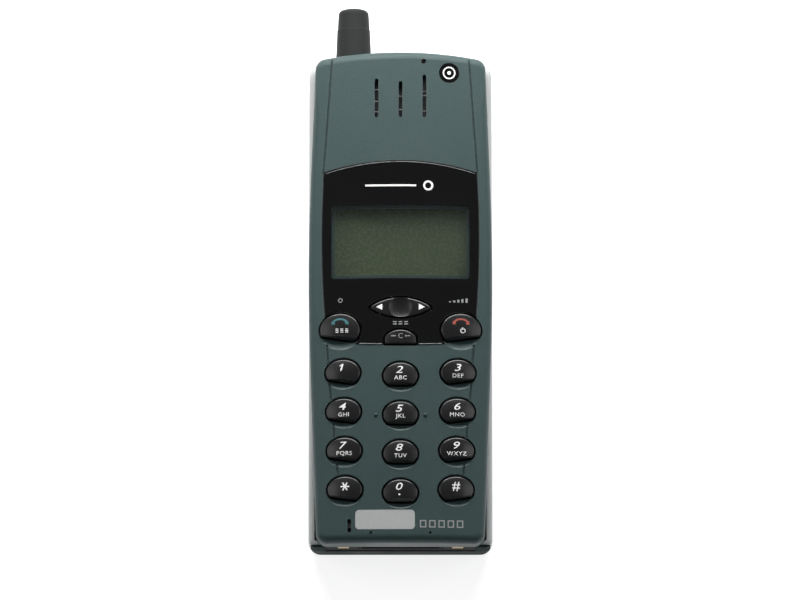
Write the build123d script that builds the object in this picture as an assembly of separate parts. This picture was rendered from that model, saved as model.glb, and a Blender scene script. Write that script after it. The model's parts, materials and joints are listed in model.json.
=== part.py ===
from build123d import *
import math
import os

# An early mobile phone with a stub antenna, lying on its back. Millimetres.
# +X is to the right of the keypad, +Y runs to the antenna and +Z comes out of the keypad.
# Lengths called "up" are measured from the phone's bottom end. z = 0 is the back of the battery.

# ---- Driving dimensions: the body -----------------------------------------------------------
BODY_WIDTH = 49.0
BODY_THICKNESS = 25.0
FIRST_ROW_UP = 13.2          # bottom end to the middle key of the lowest row
KEY_ROW_PITCH = 10.5
KEY_ROWS = 4
MIDDLE_KEY_DROP = 0.9        # outer keys stand this far above the middle one
CALL_ROW_RISE = 12.5         # top number row to the call and end keys
ROCKER_RISE = 6.0            # call keys to the rocker
DISPLAY_RISE = 13.9          # call keys to the lower edge of the display
DISPLAY_HEIGHT = 19.9
WINDOW_HEAD = 12.2           # display to the crest of the window's arch
EARPIECE_ZONE = 29.8         # crest of the arch to the crest of the body
BODY_LENGTH = (FIRST_ROW_UP + KEY_ROW_PITCH * (KEY_ROWS - 1) + CALL_ROW_RISE
               + DISPLAY_RISE + DISPLAY_HEIGHT + WINDOW_HEAD + EARPIECE_ZONE)
ANTENNA_RISE = 13.9          # how far the antenna stands above the body
BOTTOM_Y = -(BODY_LENGTH + ANTENNA_RISE) / 2
HALF_WIDTH = BODY_WIDTH / 2

# ---- Layers, from the back to the front -----------------------------------------------------
BATTERY_DEPTH = 9.0
FRONT_DEPTH = 8.5            # front cover, from the parting line to its crown
PARTING_Z = BODY_THICKNESS - FRONT_DEPTH
PART_GAP = 0.2               # between bodies that slide on each other
FIT_GAP = 0.05               # round pieces that are glued or pressed into a seat
COVER_WALL = 2.0
REAR_WALL = 1.6
REAR_BACK_Z = BATTERY_DEPTH + PART_GAP
REAR_FLOOR_Z = REAR_BACK_Z + REAR_WALL
HUMP_BACK_Z = 0.6            # upper back, just clear of the table
BOARD_THICKNESS = 1.2
BOARD_TOP_Z = PARTING_Z + 0.2
BOARD_BACK_Z = BOARD_TOP_Z - BOARD_THICKNESS
CROWN_RADIUS = 120.0         # of the front face, across its width
TOP_ARC_DROP = 1.2           # of the cover's top edge, at the flanks
TOP_ARC_REACH = 17.9

# ---- Outlines -------------------------------------------------------------------------------
COVER_TOP_INSET = 1.85       # how much narrower the cover is than the body, at its top
COVER_SHOULDER_INSET = 1.2
COVER_UPPER_INSET = 0.5
COVER_LOWER_INSET = 0.45
COVER_HIP_INSET = 1.3
COVER_BOTTOM_INSET = 2.15
COVER_CORNER = 3.0
COVER_EDGE_RADIUS = 2.2
REAR_TOP_DROP = 0.4          # the frame's top edge lies this far under the cover's
REAR_CORNER_DROP = 1.2
REAR_TOP_CORNER = 4.4
REAR_BOTTOM_CORNER = 2.0
REAR_EDGE_RADIUS = 1.2
BACK_EDGE_RADIUS = 3.6

# ---- Window, display and grooves ------------------------------------------------------------
BEZEL_THICKNESS = 1.0
BEZEL_PROUD = 0.15
BEZEL_SIDE_INSET = 3.4       # body's side to the bezel's widest place
BEZEL_HEAD_INSET = 0.6       # narrower than that at its head
BEZEL_FOOT_INSET = 1.5       # and at its foot
BEZEL_ARCH = 3.1
BEZEL_FOOT_DROP = 4.1        # bezel's foot under the call keys
BEZEL_CORNER = 0.5
BEZEL_FOOT_CURVE = 0.75      # the foot's middle hangs this far under its ends
DISPLAY_SIDE_INSET = 6.1
LENS_LEDGE = 0.9
LENS_THICKNESS = 0.8
DISPLAY_UP = FIRST_ROW_UP + KEY_ROW_PITCH * (KEY_ROWS - 1) + CALL_ROW_RISE + DISPLAY_RISE
DISPLAY_HALF = HALF_WIDTH - DISPLAY_SIDE_INSET
WINDOW_TOP_UP = DISPLAY_UP + DISPLAY_HEIGHT + WINDOW_HEAD
CALL_UP = DISPLAY_UP - DISPLAY_RISE
LCD_THICKNESS = 1.7
LIGHT_GUIDE_THICKNESS = 1.7
STRIP_WIDTH = 1.6
GROOVE_WIDTH = 0.6
GROOVE_DEPTH = 0.5
# Each groove runs through these places: distance in from the body's side, distance up.
UPPER_GROOVE = ((6.4, BODY_LENGTH), (4.0, WINDOW_TOP_UP - BEZEL_ARCH))
LOWER_GROOVE = (
    (5.0, CALL_UP - BEZEL_FOOT_DROP),
    (5.6, FIRST_ROW_UP + KEY_ROW_PITCH * (KEY_ROWS - 1) - MIDDLE_KEY_DROP),
    (7.4, FIRST_ROW_UP + KEY_ROW_PITCH),
    (7.8, FIRST_ROW_UP + KEY_ROW_PITCH / 2),
)

# ---- Keys -----------------------------------------------------------------------------------
KEY_SIDE_INSET = 9.2         # body's side to the centre of an outer key in the top row
KEY_COLUMN_LEAN = 0.18       # the columns close up by this much from row to row
KEY_LENGTH = 9.2
KEY_HEIGHT = 7.1
KEY_GAP = 0.45               # key to the wall of its well
WELL_LIP = 0.25              # how much wider the dished mouth of a well is
DISH_DEPTH = 1.6
KEY_PROUD = 1.1
KEY_DOME = 16.0              # radius of a number key's domed face
KEY_EDGE_RADIUS = 0.45
KEY_CHORD = 1.7              # key centre to the foot of its face
KEY_FOOT = 2.4               # key centre to the flat foot of its body
KEY_CHORD_TILT = 9.0
KEY_FOOT_SLOPE = 55.0
KEY_CORNER = 0.8             # where the flat foot meets the oval
KEY_TRAVEL = 0.6
FLANGE_LIP = 0.9
FLANGE_THICKNESS = 0.8
FLANGE_ROOM = 0.25
CALL_KEY_SIDE_INSET = 8.4
CALL_KEY_LENGTH = 10.6
CALL_KEY_HEIGHT = 8.8
CALL_KEY_DOME = 24.0
ROCKER_LENGTH = 17.0
ROCKER_HEIGHT = 5.4
ROCKER_GAP = 0.4
ROCKER_TIP_RADIUS = 0.7
ROCKER_PAD = 6.6
ROCKER_PAD_DEPTH = 0.6
ROCKER_AXLE = 1.6
ROCKER_PLUNGER_X = 6.4
ROCKER_DOME = 60.0
AXLE_PLAY = 0.05
LUG_THICKNESS = 1.0
LUG_WIDTH = 3.6
CLEAR_KEY_LENGTH = 8.4
CLEAR_KEY_HEIGHT = 3.9
CLEAR_KEY_DROP = 3.9         # call keys to the clear key's foot
CLEAR_KEY_SHOULDER = 0.55    # upright part of its sides, as a share of its height
CLEAR_KEY_ROUNDING = 1.3     # where the sides meet the head
CLEAR_KEY_CORNER = 0.5       # where the sides meet the foot
MAT_THICKNESS = 1.2
MAT_CORNER = 1.0
DOME_SHEET_THICKNESS = 0.3
PLUNGER_WIDTH = 2.4
PAD_DIAMETER = 4.2

# ---- Upper face -----------------------------------------------------------------------------
SLOT_WIDTH = 1.0
SLOT_SPACING = 6.4
SLOT_FOOT_DROP = 18.1        # crest of the body to the foot of the slots
SLOT_LENGTHS = (10.6, 9.8, 11.6)
LED_X = 6.2
LED_DROP = 2.8
LED_DIAMETER = 1.3
BADGE_X = 13.0
BADGE_DROP = 5.9
BADGE_DIAMETER = 5.4
BADGE_THICKNESS = 0.5
CLOTH_THICKNESS = 0.25
EARPIECE_DIAMETER = 15.0
EARPIECE_THICKNESS = 3.0
EARPIECE_DROP = 12.9
GASKET_WALL = 1.2

# ---- Lower face -----------------------------------------------------------------------------
MIC_X = -13.6
MIC_UP = 4.5
MIC_SLOT_LENGTH = 3.6
MIC_DIAMETER = 4.4
MIC_HEIGHT = 2.4
MIC_BOOT_WALL = 0.6
PIN_HOLE_X = 7.9
PIN_HOLE_UP = 2.6
PIN_HOLE_DIAMETER = 0.7
LABEL_WIDTH = 15.8
LABEL_HEIGHT = 5.2
LABEL_X = -4.1
LABEL_UP = 6.05
LABEL_THICKNESS = 0.12
BUMP_X = 6.6
BUMP_RADIUS = 0.5

# ---- Antenna --------------------------------------------------------------------------------
ANTENNA_X = -12.6
ANTENNA_Z = 11.2
ANTENNA_BASE_DIAMETER = 9.5
ANTENNA_TIP_DIAMETER = 8.0
ANTENNA_STEP_DROP = 5.5
ANTENNA_STEP = 0.12
ANTENNA_ROUNDING = 1.3
ANTENNA_SEAT_DROP = 0.5
STUD_DIAMETER = 4.0
STUD_LENGTH = 7.0
INSERT_DIAMETER = 6.4
COLLAR_DIAMETER = 9.6
FORMER_DIAMETER = 3.4
COIL_WIRE = 0.5
COIL_PITCH = 1.4
COIL_TURNS = 6
SLEEVE_BORE = 5.6

# ---- Screws ---------------------------------------------------------------------------------
POST_DIAMETER = 3.4
REAR_POST_DIAMETER = 5.6
POST_CLEARANCE = 0.25
SCREW_DIAMETER = 1.8
SCREW_HEAD_DIAMETER = 3.2
SCREW_HEAD_HEIGHT = 1.0
SCREW_SLOT_LENGTH = 2.2
SCREW_SLOT_WIDTH = 0.45
SCREW_BITE = 4.0
LOW_POST_INSET = 6.1
LOW_POST_UP = 5.0
MID_POST_INSET = 4.7
MID_POST_DROP = 4.5
HIGH_POST_INSET = 5.8
HIGH_POST_DROP = 6.5

# ---- Battery and its latch ------------------------------------------------------------------
BATTERY_LENGTH = 92.0
BATTERY_WALL = 1.4
BATTERY_CORNER = 3.2
LID_THICKNESS = 1.2
BATTERY_TRAVEL = 9.0
HOOK_X = 17.0
LOW_HOOK_UP = 30.0
HOOK_NECK = 1.2
HOOK_HEAD = 2.6
HOOK_LENGTH = 3.0
# The upper hooks stay above the middle posts after the battery has slid its whole travel.
HIGH_HOOK_UP = DISPLAY_UP - MID_POST_DROP + REAR_POST_DIAMETER / 2 + BATTERY_TRAVEL + HOOK_LENGTH
CELL_GAP = 0.6
CELL_SIDE_ROOM = 2.5
CELL_END_ROOM = 8.0
CONTACT_UP = 82.0
CONTACT_PITCH = 3.6
CONTACT_WIDTH = 2.0
CONTACT_LENGTH = 5.0
CONTACT_STOCK = 0.25
BLOCK_WIDTH = 12.0
BLOCK_LENGTH = 8.0
LATCH_WIDTH = 13.4
LATCH_LENGTH = 6.4
LATCH_TRAVEL = 2.0
LATCH_UP = 101.0
LATCH_PLATE_MARGIN = 2.4
LATCH_PLATE = 1.0
TONGUE_WIDTH = 8.0
STRIKE_WIDTH = 6.0
STRIKE_THICKNESS = 0.8
STRIKE_REACH = 2.0           # out of the battery's head
STRIKE_ROOT = 3.0            # into the battery
SPRING_DIAMETER = 3.0
SPRING_WIRE = 0.4
SPRING_TURNS = 5
RIB_GROOVE = 0.3
LATCH_STOP = 1.6

# ---- On the board ---------------------------------------------------------------------------
SHIELDS = ((28.0, 24.0, 60.0), (30.0, 22.0, 103.0))    # width, length, distance up
SHIELD_HEIGHT = 3.0
SHIELD_WALL = 0.3
BUZZER_X = 13.0
BUZZER_RISE = 3.8
BUZZER_DIAMETER = 9.0
BUZZER_HEIGHT = 3.2
BACKUP_UP = 30.0
BACKUP_X = -10.0
BACKUP_DIAMETER = 6.8
BACKUP_HEIGHT = 2.1

# ---- Bottom end -----------------------------------------------------------------------------
PANEL_SIDE_INSET = 4.6
PANEL_THICKNESS = 1.4
SOCKET_WIDTH = 22.0
SOCKET_HEIGHT = 3.4
SOCKET_DEPTH = 5.0
SOCKET_WALL = 0.57
SOCKET_PINS = 12
CHARGE_X = 15.2
CHARGE_SIZE = 3.0


# ---- Shared geometry ------------------------------------------------------------------------


def y_at(up):
    """Y of a place this far above the phone's bottom end."""
    return BOTTOM_Y + up


def crown_drop(x):
    """How far the front face has fallen at x from the middle line."""
    return CROWN_RADIUS - math.sqrt(CROWN_RADIUS**2 - x**2)


def crown_z(x, offset=0.0):
    """Height of the front face at x, moved outwards by offset."""
    return BODY_THICKNESS - crown_drop(x) + offset


def crown_form(offset):
    """A cylinder along the phone whose top is the front face moved outwards by offset."""
    axis_z = BODY_THICKNESS - CROWN_RADIUS
    return Pos(0, 0, axis_z) * Rot(90, 0, 0) * Cylinder(CROWN_RADIUS + offset, 3 * BODY_LENGTH)


def prism(profile, low_z, high_z):
    """The flat profile raised from low_z to high_z."""
    return Pos(0, 0, low_z) * extrude(profile, high_z - low_z)


def under_crown(profile, low_z, offset=0.0):
    """The profile raised from low_z to the front face moved outwards by offset."""
    return prism(profile, low_z, BODY_THICKNESS + 2 * KEY_PROUD) & crown_form(offset)


def crown_layer(profile, inner, outer):
    """The profile between two offsets of the front face."""
    return under_crown(profile, PARTING_Z, outer) - crown_form(inner)


def box_between(low, high):
    """A box from its lowest corner to its highest."""
    size = [top - bottom for bottom, top in zip(low, high)]
    middle = [(top + bottom) / 2 for bottom, top in zip(low, high)]
    return Pos(*middle) * Box(*size)


def rod_along_y(x, z, low_up, high_up, diameter):
    """A round bar along the phone."""
    middle_y = y_at((low_up + high_up) / 2)
    return Pos(x, middle_y, z) * Rot(90, 0, 0) * Cylinder(diameter / 2, high_up - low_up)


def mirrored_pairs(places):
    """Each place and its mirror image across the middle line."""
    return [(side * x, up) for x, up in places for side in (-1, 1)]


# ---- Outlines -------------------------------------------------------------------------------


def corner_fillets(face, sizes):
    """Round the face's corners: sizes holds pairs of a test on the corner and a radius."""
    for is_corner, radius in sizes:
        corners = [corner for corner in face.vertices() if is_corner(corner)]
        face = fillet(corners, radius)
    return face


def cover_outline(inset=0.0):
    """The front cover's outline: widest beside the display, with an arched top edge."""
    top_half = HALF_WIDTH - COVER_TOP_INSET - inset
    arc_radius = (TOP_ARC_REACH**2 + TOP_ARC_DROP**2) / (2 * TOP_ARC_DROP)
    corner_drop = arc_radius - math.sqrt(arc_radius**2 - top_half**2)
    crest = BODY_LENGTH - inset
    side = [
        (HALF_WIDTH - COVER_BOTTOM_INSET - inset, y_at(inset)),
        (HALF_WIDTH - COVER_HIP_INSET - inset, y_at(FIRST_ROW_UP + KEY_ROW_PITCH)),
        (HALF_WIDTH - COVER_LOWER_INSET - inset, y_at(CALL_UP - CALL_KEY_HEIGHT)),
        (HALF_WIDTH - inset, y_at(DISPLAY_UP)),
        (HALF_WIDTH - COVER_UPPER_INSET - inset, y_at(WINDOW_TOP_UP - BEZEL_ARCH - KEY_ROW_PITCH / 4)),
        (HALF_WIDTH - COVER_SHOULDER_INSET - inset, y_at(BODY_LENGTH - SLOT_FOOT_DROP)),
        (top_half, y_at(crest - corner_drop)),
    ]
    right = Spline(*side)
    left = Spline(*[(-x, y) for x, y in side])
    bottom = Line(left @ 0, right @ 0)
    top = ThreePointArc(left @ 1, (0, y_at(crest)), right @ 1)
    face = make_face([bottom, right, top, left])
    corner = max(COVER_CORNER - inset, COVER_CORNER / 4)
    return fillet(face.vertices(), corner)


def rear_outline(inset=0.0):
    """The rear housing's outline: straight sides and a flatter arched top."""
    half = HALF_WIDTH - inset
    crest = BODY_LENGTH - REAR_TOP_DROP - inset
    low = y_at(inset)
    shoulder = y_at(crest - REAR_CORNER_DROP)
    bottom = Line((-half, low), (half, low))
    right = Line((half, low), (half, shoulder))
    top = ThreePointArc((half, shoulder), (0, y_at(crest)), (-half, shoulder))
    left = Line((-half, shoulder), (-half, low))
    face = make_face([bottom, right, top, left])
    middle = y_at(BODY_LENGTH / 2)
    sizes = [
        (lambda corner: corner.Y < middle, max(REAR_BOTTOM_CORNER - inset, REAR_BOTTOM_CORNER / 4)),
        (lambda corner: corner.Y > middle and abs(corner.X) > half - FIT_GAP, REAR_TOP_CORNER - inset),
    ]
    return corner_fillets(face, sizes)


def bezel_outline(gap=0.0):
    """The window bezel: bulging sides, an arched head and a shallow curved foot."""
    wide = HALF_WIDTH - BEZEL_SIDE_INSET + gap
    head_half = wide - BEZEL_HEAD_INSET
    foot_half = wide - BEZEL_FOOT_INSET
    head = WINDOW_TOP_UP + gap
    foot = CALL_UP - BEZEL_FOOT_DROP - gap
    shoulder = y_at(head - BEZEL_ARCH)
    foot_side = y_at(foot + BEZEL_FOOT_CURVE)
    middle = y_at(DISPLAY_UP + DISPLAY_HEIGHT / 2)
    right = ThreePointArc((foot_half, foot_side), (wide, middle), (head_half, shoulder))
    top = ThreePointArc((head_half, shoulder), (0, y_at(head)), (-head_half, shoulder))
    left = ThreePointArc((-head_half, shoulder), (-wide, middle), (-foot_half, foot_side))
    bottom = ThreePointArc((-foot_half, foot_side), (0, y_at(foot)), (foot_half, foot_side))
    face = make_face([right, top, left, bottom])
    return fillet(face.vertices(), BEZEL_CORNER)


def display_outline(inset=0.0):
    """The display opening, made larger by a negative inset."""
    width = 2 * (DISPLAY_HALF - inset)
    height = DISPLAY_HEIGHT - 2 * inset
    middle_y = y_at(DISPLAY_UP + DISPLAY_HEIGHT / 2)
    return Pos(0, middle_y) * RectangleRounded(width, height, LENS_LEDGE)


def eye_outline(length, height):
    """A pointed oval of two equal arcs with softened tips."""
    half = length / 2
    upper = ThreePointArc((-half, 0), (0, height / 2), (half, 0))
    lower = ThreePointArc((half, 0), (0, -height / 2), (-half, 0))
    return fillet(make_face([upper, lower]).vertices(), ROCKER_TIP_RADIUS)


def dee_outline(length, height):
    """A key with a flat foot, upright sides and an arched head."""
    half = length / 2
    shoulder = CLEAR_KEY_SHOULDER * height
    foot = Line((-half, 0), (half, 0))
    right = Line((half, 0), (half, shoulder))
    head = ThreePointArc((half, shoulder), (0, height), (-half, shoulder))
    left = Line((-half, shoulder), (-half, 0))
    face = make_face([foot, right, head, left])
    face = fillet(face.vertices().group_by(Axis.Y)[-1], CLEAR_KEY_ROUNDING)
    return fillet(face.vertices().group_by(Axis.Y)[0], CLEAR_KEY_CORNER)


# ---- Levels under the keys ------------------------------------------------------------------

DOME_TOP_Z = BOARD_TOP_Z + DOME_SHEET_THICKNESS
MAT_PAD_TOP = DOME_TOP_Z + MAT_THICKNESS

# ---- Where the keys stand -------------------------------------------------------------------


def number_keys():
    """Name, X, distance up and side (-1, 0, 1) of each of the twelve number keys."""
    names = (("1", "2", "3"), ("4", "5", "6"), ("7", "8", "9"), ("star", "0", "hash"))
    keys = []
    for row, row_names in enumerate(names):
        middle_up = FIRST_ROW_UP + KEY_ROW_PITCH * (KEY_ROWS - 1 - row)
        reach = HALF_WIDTH - KEY_SIDE_INSET - KEY_COLUMN_LEAN * row
        for side, name in zip((-1, 0, 1), row_names):
            up = middle_up + abs(side) * MIDDLE_KEY_DROP
            keys.append((name, side * reach, up, side))
    return keys


def call_keys():
    """Name, X, distance up and side of the call key and the end key."""
    reach = HALF_WIDTH - CALL_KEY_SIDE_INSET
    return [("call", -reach, CALL_UP, -1), ("end", reach, CALL_UP, 1)]


ROCKER_UP = CALL_UP + ROCKER_RISE
CLEAR_FOOT_UP = CALL_UP - CLEAR_KEY_DROP
KEY_REACH = HALF_WIDTH - CALL_KEY_SIDE_INSET + CALL_KEY_LENGTH / 2 + FLANGE_LIP
KEY_FLANGE_TOP = crown_z(KEY_REACH, -COVER_WALL - FLANGE_ROOM)
KEY_FLANGE_BOTTOM = KEY_FLANGE_TOP - FLANGE_THICKNESS
ROCKER_AXLE_Z = KEY_FLANGE_TOP - ROCKER_AXLE / 2


def below_foot(foot, tilt):
    """Everything on the bottom-end side of a key's flat foot."""
    size = 4 * CALL_KEY_LENGTH
    return Rot(0, 0, tilt) * Pos(0, -foot - size / 2) * Rectangle(size, size)


def dee_plan(length, height, side, margin):
    """An oval key cut off flat at its foot, or its well with a margin."""
    oval = Ellipse(length / 2 + margin, height / 2 + margin)
    plan = oval - below_foot(KEY_FOOT + margin, side * KEY_CHORD_TILT)
    return fillet(plan.vertices(), KEY_CORNER + margin)


def scoop_plan(length, height, side, margin):
    """The part of the oval mouth that lies below the key's foot."""
    oval = Ellipse(length / 2 + margin, height / 2 + margin)
    return oval & below_foot(KEY_FOOT, side * KEY_CHORD_TILT)


def oval_keys():
    """Name, X, distance up, side, length, height and dome radius of each number and call key."""
    numbers = [key + (KEY_LENGTH, KEY_HEIGHT, KEY_DOME) for key in number_keys()]
    return numbers + [key + (CALL_KEY_LENGTH, CALL_KEY_HEIGHT, CALL_KEY_DOME) for key in call_keys()]


def clear_plan(margin=0.0):
    """Plan of the clear key, or of its well with a margin."""
    outline = dee_outline(CLEAR_KEY_LENGTH + 2 * margin, CLEAR_KEY_HEIGHT + 2 * margin)
    return Pos(0, y_at(CLEAR_FOOT_UP - margin)) * outline


def window_wells():
    """Plans of the rocker's well and the clear key's well."""
    rocker = eye_outline(ROCKER_LENGTH + 3 * ROCKER_GAP, ROCKER_HEIGHT + 2 * ROCKER_GAP)
    return [Pos(0, y_at(ROCKER_UP)) * rocker, clear_plan(KEY_GAP)]


def post_places():
    """X, distance up of the six screw posts."""
    return mirrored_pairs([
        (HALF_WIDTH - LOW_POST_INSET, LOW_POST_UP),
        (HALF_WIDTH - MID_POST_INSET, DISPLAY_UP - MID_POST_DROP),
        (HALF_WIDTH - HIGH_POST_INSET, BODY_LENGTH - HIGH_POST_DROP),
    ])


# ---- Front cover and what is set into it ----------------------------------------------------


def top_edges(solid):
    """Edges of the solid's highest face."""
    return solid.faces().sort_by(Axis.Z)[-1].edges()


def face_tilt(x):
    """Degrees that the front face leans outwards at x."""
    return math.degrees(math.asin(x / CROWN_RADIUS))


def mouth_dish(length, height):
    """A flattened bowl whose edge, level with the face, is the oval mouth of a well."""
    half_long = length / 2 + KEY_GAP + WELL_LIP
    half_tall = height / 2 + KEY_GAP + WELL_LIP
    # The bowl is part of an oval turned about X; its centre stands this far above the face.
    lift = (half_tall**2 / DISH_DEPTH - DISH_DEPTH) / 2
    tall = lift + DISH_DEPTH
    long = half_long * tall / half_tall
    rim = EllipticalCenterArc((0, 0), long, tall, start_angle=0, arc_size=180)
    profile = make_face([rim, Line(rim @ 1, rim @ 0)])
    return Pos(0, 0, lift) * revolve(profile, Axis.X)


def key_well(x, up, side, length, height):
    """A key's hole through the front face, with a dished mouth."""
    hole = Pos(x, y_at(up)) * dee_plan(length, height, side, KEY_GAP)
    dish = Pos(x, y_at(up), crown_z(x)) * Rot(0, face_tilt(x), 0) * mouth_dish(length, height)
    return prism(hole, PARTING_Z, BODY_THICKNESS + KEY_PROUD) + dish


def call_key_islands(margin):
    """The cover's own face below the call keys, which the bezel leaves free."""
    islands = []
    for _, x, up, side in call_keys():
        plan = scoop_plan(CALL_KEY_LENGTH, CALL_KEY_HEIGHT, side, KEY_GAP + WELL_LIP + margin)
        islands.append(prism(Pos(x, y_at(up)) * plan, PARTING_Z, BODY_THICKNESS + KEY_PROUD))
    return islands


def groove_plan(points):
    """A narrow strip along the points."""
    strips = []
    for start, end in zip(points, points[1:]):
        run = Vector(end[0] - start[0], end[1] - start[1])
        middle = ((start[0] + end[0]) / 2, (start[1] + end[1]) / 2)
        angle = math.degrees(math.atan2(run.Y, run.X))
        strips.append(Pos(*middle) * Rot(0, 0, angle) * Rectangle(run.length + GROOVE_WIDTH, GROOVE_WIDTH))
    plan = strips[0]
    for strip in strips[1:]:
        plan = plan + strip
    return plan


def slot_plans():
    """Plans of the three earpiece slots."""
    foot = BODY_LENGTH - SLOT_FOOT_DROP
    plans = []
    for place, length in zip((-1, 0, 1), SLOT_LENGTHS):
        middle = y_at(foot + length / 2)
        plans.append(Pos(place * SLOT_SPACING, middle) * Rot(0, 0, 90) * SlotOverall(length, SLOT_WIDTH))
    return plans


def mic_slot():
    return Pos(MIC_X, y_at(MIC_UP)) * Rot(0, 0, 90) * SlotOverall(MIC_SLOT_LENGTH, SLOT_WIDTH)


def front_cover():
    outer = under_crown(cover_outline(), PARTING_Z)
    outer = fillet(top_edges(outer), COVER_EDGE_RADIUS)
    cavity = under_crown(cover_outline(COVER_WALL), PARTING_Z - 1, -COVER_WALL)
    cover = outer - cavity
    for x, up in post_places():
        post = Pos(x, y_at(up)) * Circle(POST_DIAMETER / 2)
        pilot = Pos(x, y_at(up)) * Circle(SCREW_DIAMETER / 2)
        # The post grows into the wall above it.
        cover += under_crown(post, BOARD_BACK_Z, -COVER_WALL / 2)
        cover -= prism(pilot, BOARD_BACK_Z, PARTING_Z + SCREW_BITE)
    recess = crown_layer(bezel_outline(FIT_GAP), -BEZEL_THICKNESS, KEY_PROUD)
    for island in call_key_islands(0):
        recess -= island
    cover -= recess
    cover -= prism(display_outline(LENS_LEDGE), PARTING_Z, BODY_THICKNESS)
    for plan in window_wells():
        cover -= prism(plan, PARTING_Z, BODY_THICKNESS + KEY_PROUD)
    for _, x, up, side, length, height, _ in oval_keys():
        cover -= key_well(x, up, side, length, height)
    for plan in slot_plans() + [mic_slot()]:
        cover -= prism(plan, PARTING_Z, BODY_THICKNESS + KEY_PROUD)
    for side in (-1, 1):
        for places in (UPPER_GROOVE, LOWER_GROOVE):
            plan = groove_plan([(side * (HALF_WIDTH - inset), y_at(up)) for inset, up in places])
            cover -= crown_layer(plan, -GROOVE_DEPTH, KEY_PROUD)
        pin_hole = Pos(side * PIN_HOLE_X, y_at(PIN_HOLE_UP)) * Circle(PIN_HOLE_DIAMETER / 2)
        cover -= crown_layer(pin_hole, -COVER_WALL / 2, KEY_PROUD)
        five = [key for key in number_keys() if key[0] == "5"][0]
        bump_x = side * BUMP_X
        cover += Pos(bump_x, y_at(five[2]), crown_z(bump_x)) * Sphere(BUMP_RADIUS)
    cover += rocker_lugs()
    led = Pos(LED_X, y_at(BODY_LENGTH - LED_DROP)) * Circle(LED_DIAMETER / 2)
    cover -= prism(led, PARTING_Z, BODY_THICKNESS + KEY_PROUD)
    cover -= crown_layer(badge_plan(FIT_GAP), -BADGE_THICKNESS, KEY_PROUD)
    cover -= crown_layer(label_plan(FIT_GAP), -LABEL_THICKNESS, KEY_PROUD)
    return cover


def rocker_lugs():
    """Two lugs under the cover, above and below the rocker's well, that hold its axle."""
    near = ROCKER_HEIGHT / 2 + ROCKER_GAP + PART_GAP
    far = near + LUG_THICKNESS
    low = ROCKER_AXLE_Z - ROCKER_AXLE / 2 - LUG_THICKNESS / 2
    high = crown_z(LUG_WIDTH / 2, -COVER_WALL / 2) - FIT_GAP
    half = LUG_WIDTH / 2
    lugs = [box_between((-half, y_at(ROCKER_UP + start), low), (half, y_at(ROCKER_UP + end), high))
            for start, end in ((near, far), (-far, -near))]
    diameter = ROCKER_AXLE + 2 * AXLE_PLAY
    bore = rod_along_y(0, ROCKER_AXLE_Z, ROCKER_UP - 2 * far, ROCKER_UP + 2 * far, diameter)
    return lugs[0] + lugs[1] - bore


def badge_plan(gap=0.0):
    return Pos(BADGE_X, y_at(BODY_LENGTH - BADGE_DROP)) * Circle(BADGE_DIAMETER / 2 + gap)


def label_plan(gap=0.0):
    size = (LABEL_WIDTH + 2 * gap, LABEL_HEIGHT + 2 * gap)
    return Pos(LABEL_X, y_at(LABEL_UP)) * RectangleRounded(*size, LABEL_HEIGHT / 5)


def window_bezel():
    bezel = crown_layer(bezel_outline(), -BEZEL_THICKNESS, BEZEL_PROUD)
    bezel = chamfer(top_edges(bezel), BEZEL_PROUD)
    bezel -= prism(display_outline(), PARTING_Z, BODY_THICKNESS + KEY_PROUD)
    for plan in window_wells():
        bezel -= prism(plan, PARTING_Z, BODY_THICKNESS + KEY_PROUD)
    for _, x, up, side in call_keys():
        bezel -= key_well(x, up, side, CALL_KEY_LENGTH, CALL_KEY_HEIGHT)
    for island in call_key_islands(FIT_GAP):
        bezel -= island
    return bezel


def display_lens():
    return crown_layer(display_outline(FIT_GAP), -BEZEL_THICKNESS, -BEZEL_THICKNESS + LENS_THICKNESS)


def led_lens():
    plan = Pos(LED_X, y_at(BODY_LENGTH - LED_DROP)) * Circle(LED_DIAMETER / 2 - FIT_GAP)
    return prism(plan, BOARD_TOP_Z + 2, BODY_THICKNESS) & crown_form(-COVER_WALL / 8)


def badge():
    return crown_layer(badge_plan(), -BADGE_THICKNESS, -BADGE_THICKNESS / 5)


def blank_label():
    return crown_layer(label_plan(), -LABEL_THICKNESS, LABEL_THICKNESS / 4)


# ---- Keys -----------------------------------------------------------------------------------


def plunger_and_flange(wide_plan, x, up):
    """The hidden part of a key: a flange that the cover holds in, and a stem over the dome."""
    flange = prism(wide_plan, KEY_FLANGE_BOTTOM, KEY_FLANGE_TOP)
    stem = Pos(x, y_at(up)) * Rectangle(PLUNGER_WIDTH, PLUNGER_WIDTH)
    return flange + prism(stem, MAT_PAD_TOP + KEY_TRAVEL + PART_GAP, KEY_FLANGE_TOP)


def foot_cutter(x, up, tilt):
    """A wedge that slopes the key's face down towards the phone's bottom end."""
    size = 2 * KEY_LENGTH
    wedge = Pos(0, -size / 2) * Box(2 * size, size, 2 * size)
    lean = Rot(0, 0, tilt) * Pos(0, -KEY_CHORD) * Rot(KEY_FOOT_SLOPE - 90, 0, 0)
    return Pos(x, y_at(up), crown_z(x, KEY_PROUD)) * lean * wedge


def push_key(plan, wide_plan, x, up, dome, proud=KEY_PROUD):
    """A key whose domed head stands proud of the front face and leans with it."""
    centre = Pos(x, y_at(up), crown_z(x)) * Rot(0, face_tilt(x), 0) * Pos(0, 0, proud - dome)
    head = prism(plan, KEY_FLANGE_BOTTOM, BODY_THICKNESS + 2 * KEY_PROUD) & (centre * Sphere(dome))
    head = fillet(top_edges(head), KEY_EDGE_RADIUS)
    return head + plunger_and_flange(wide_plan, x, up)


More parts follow.
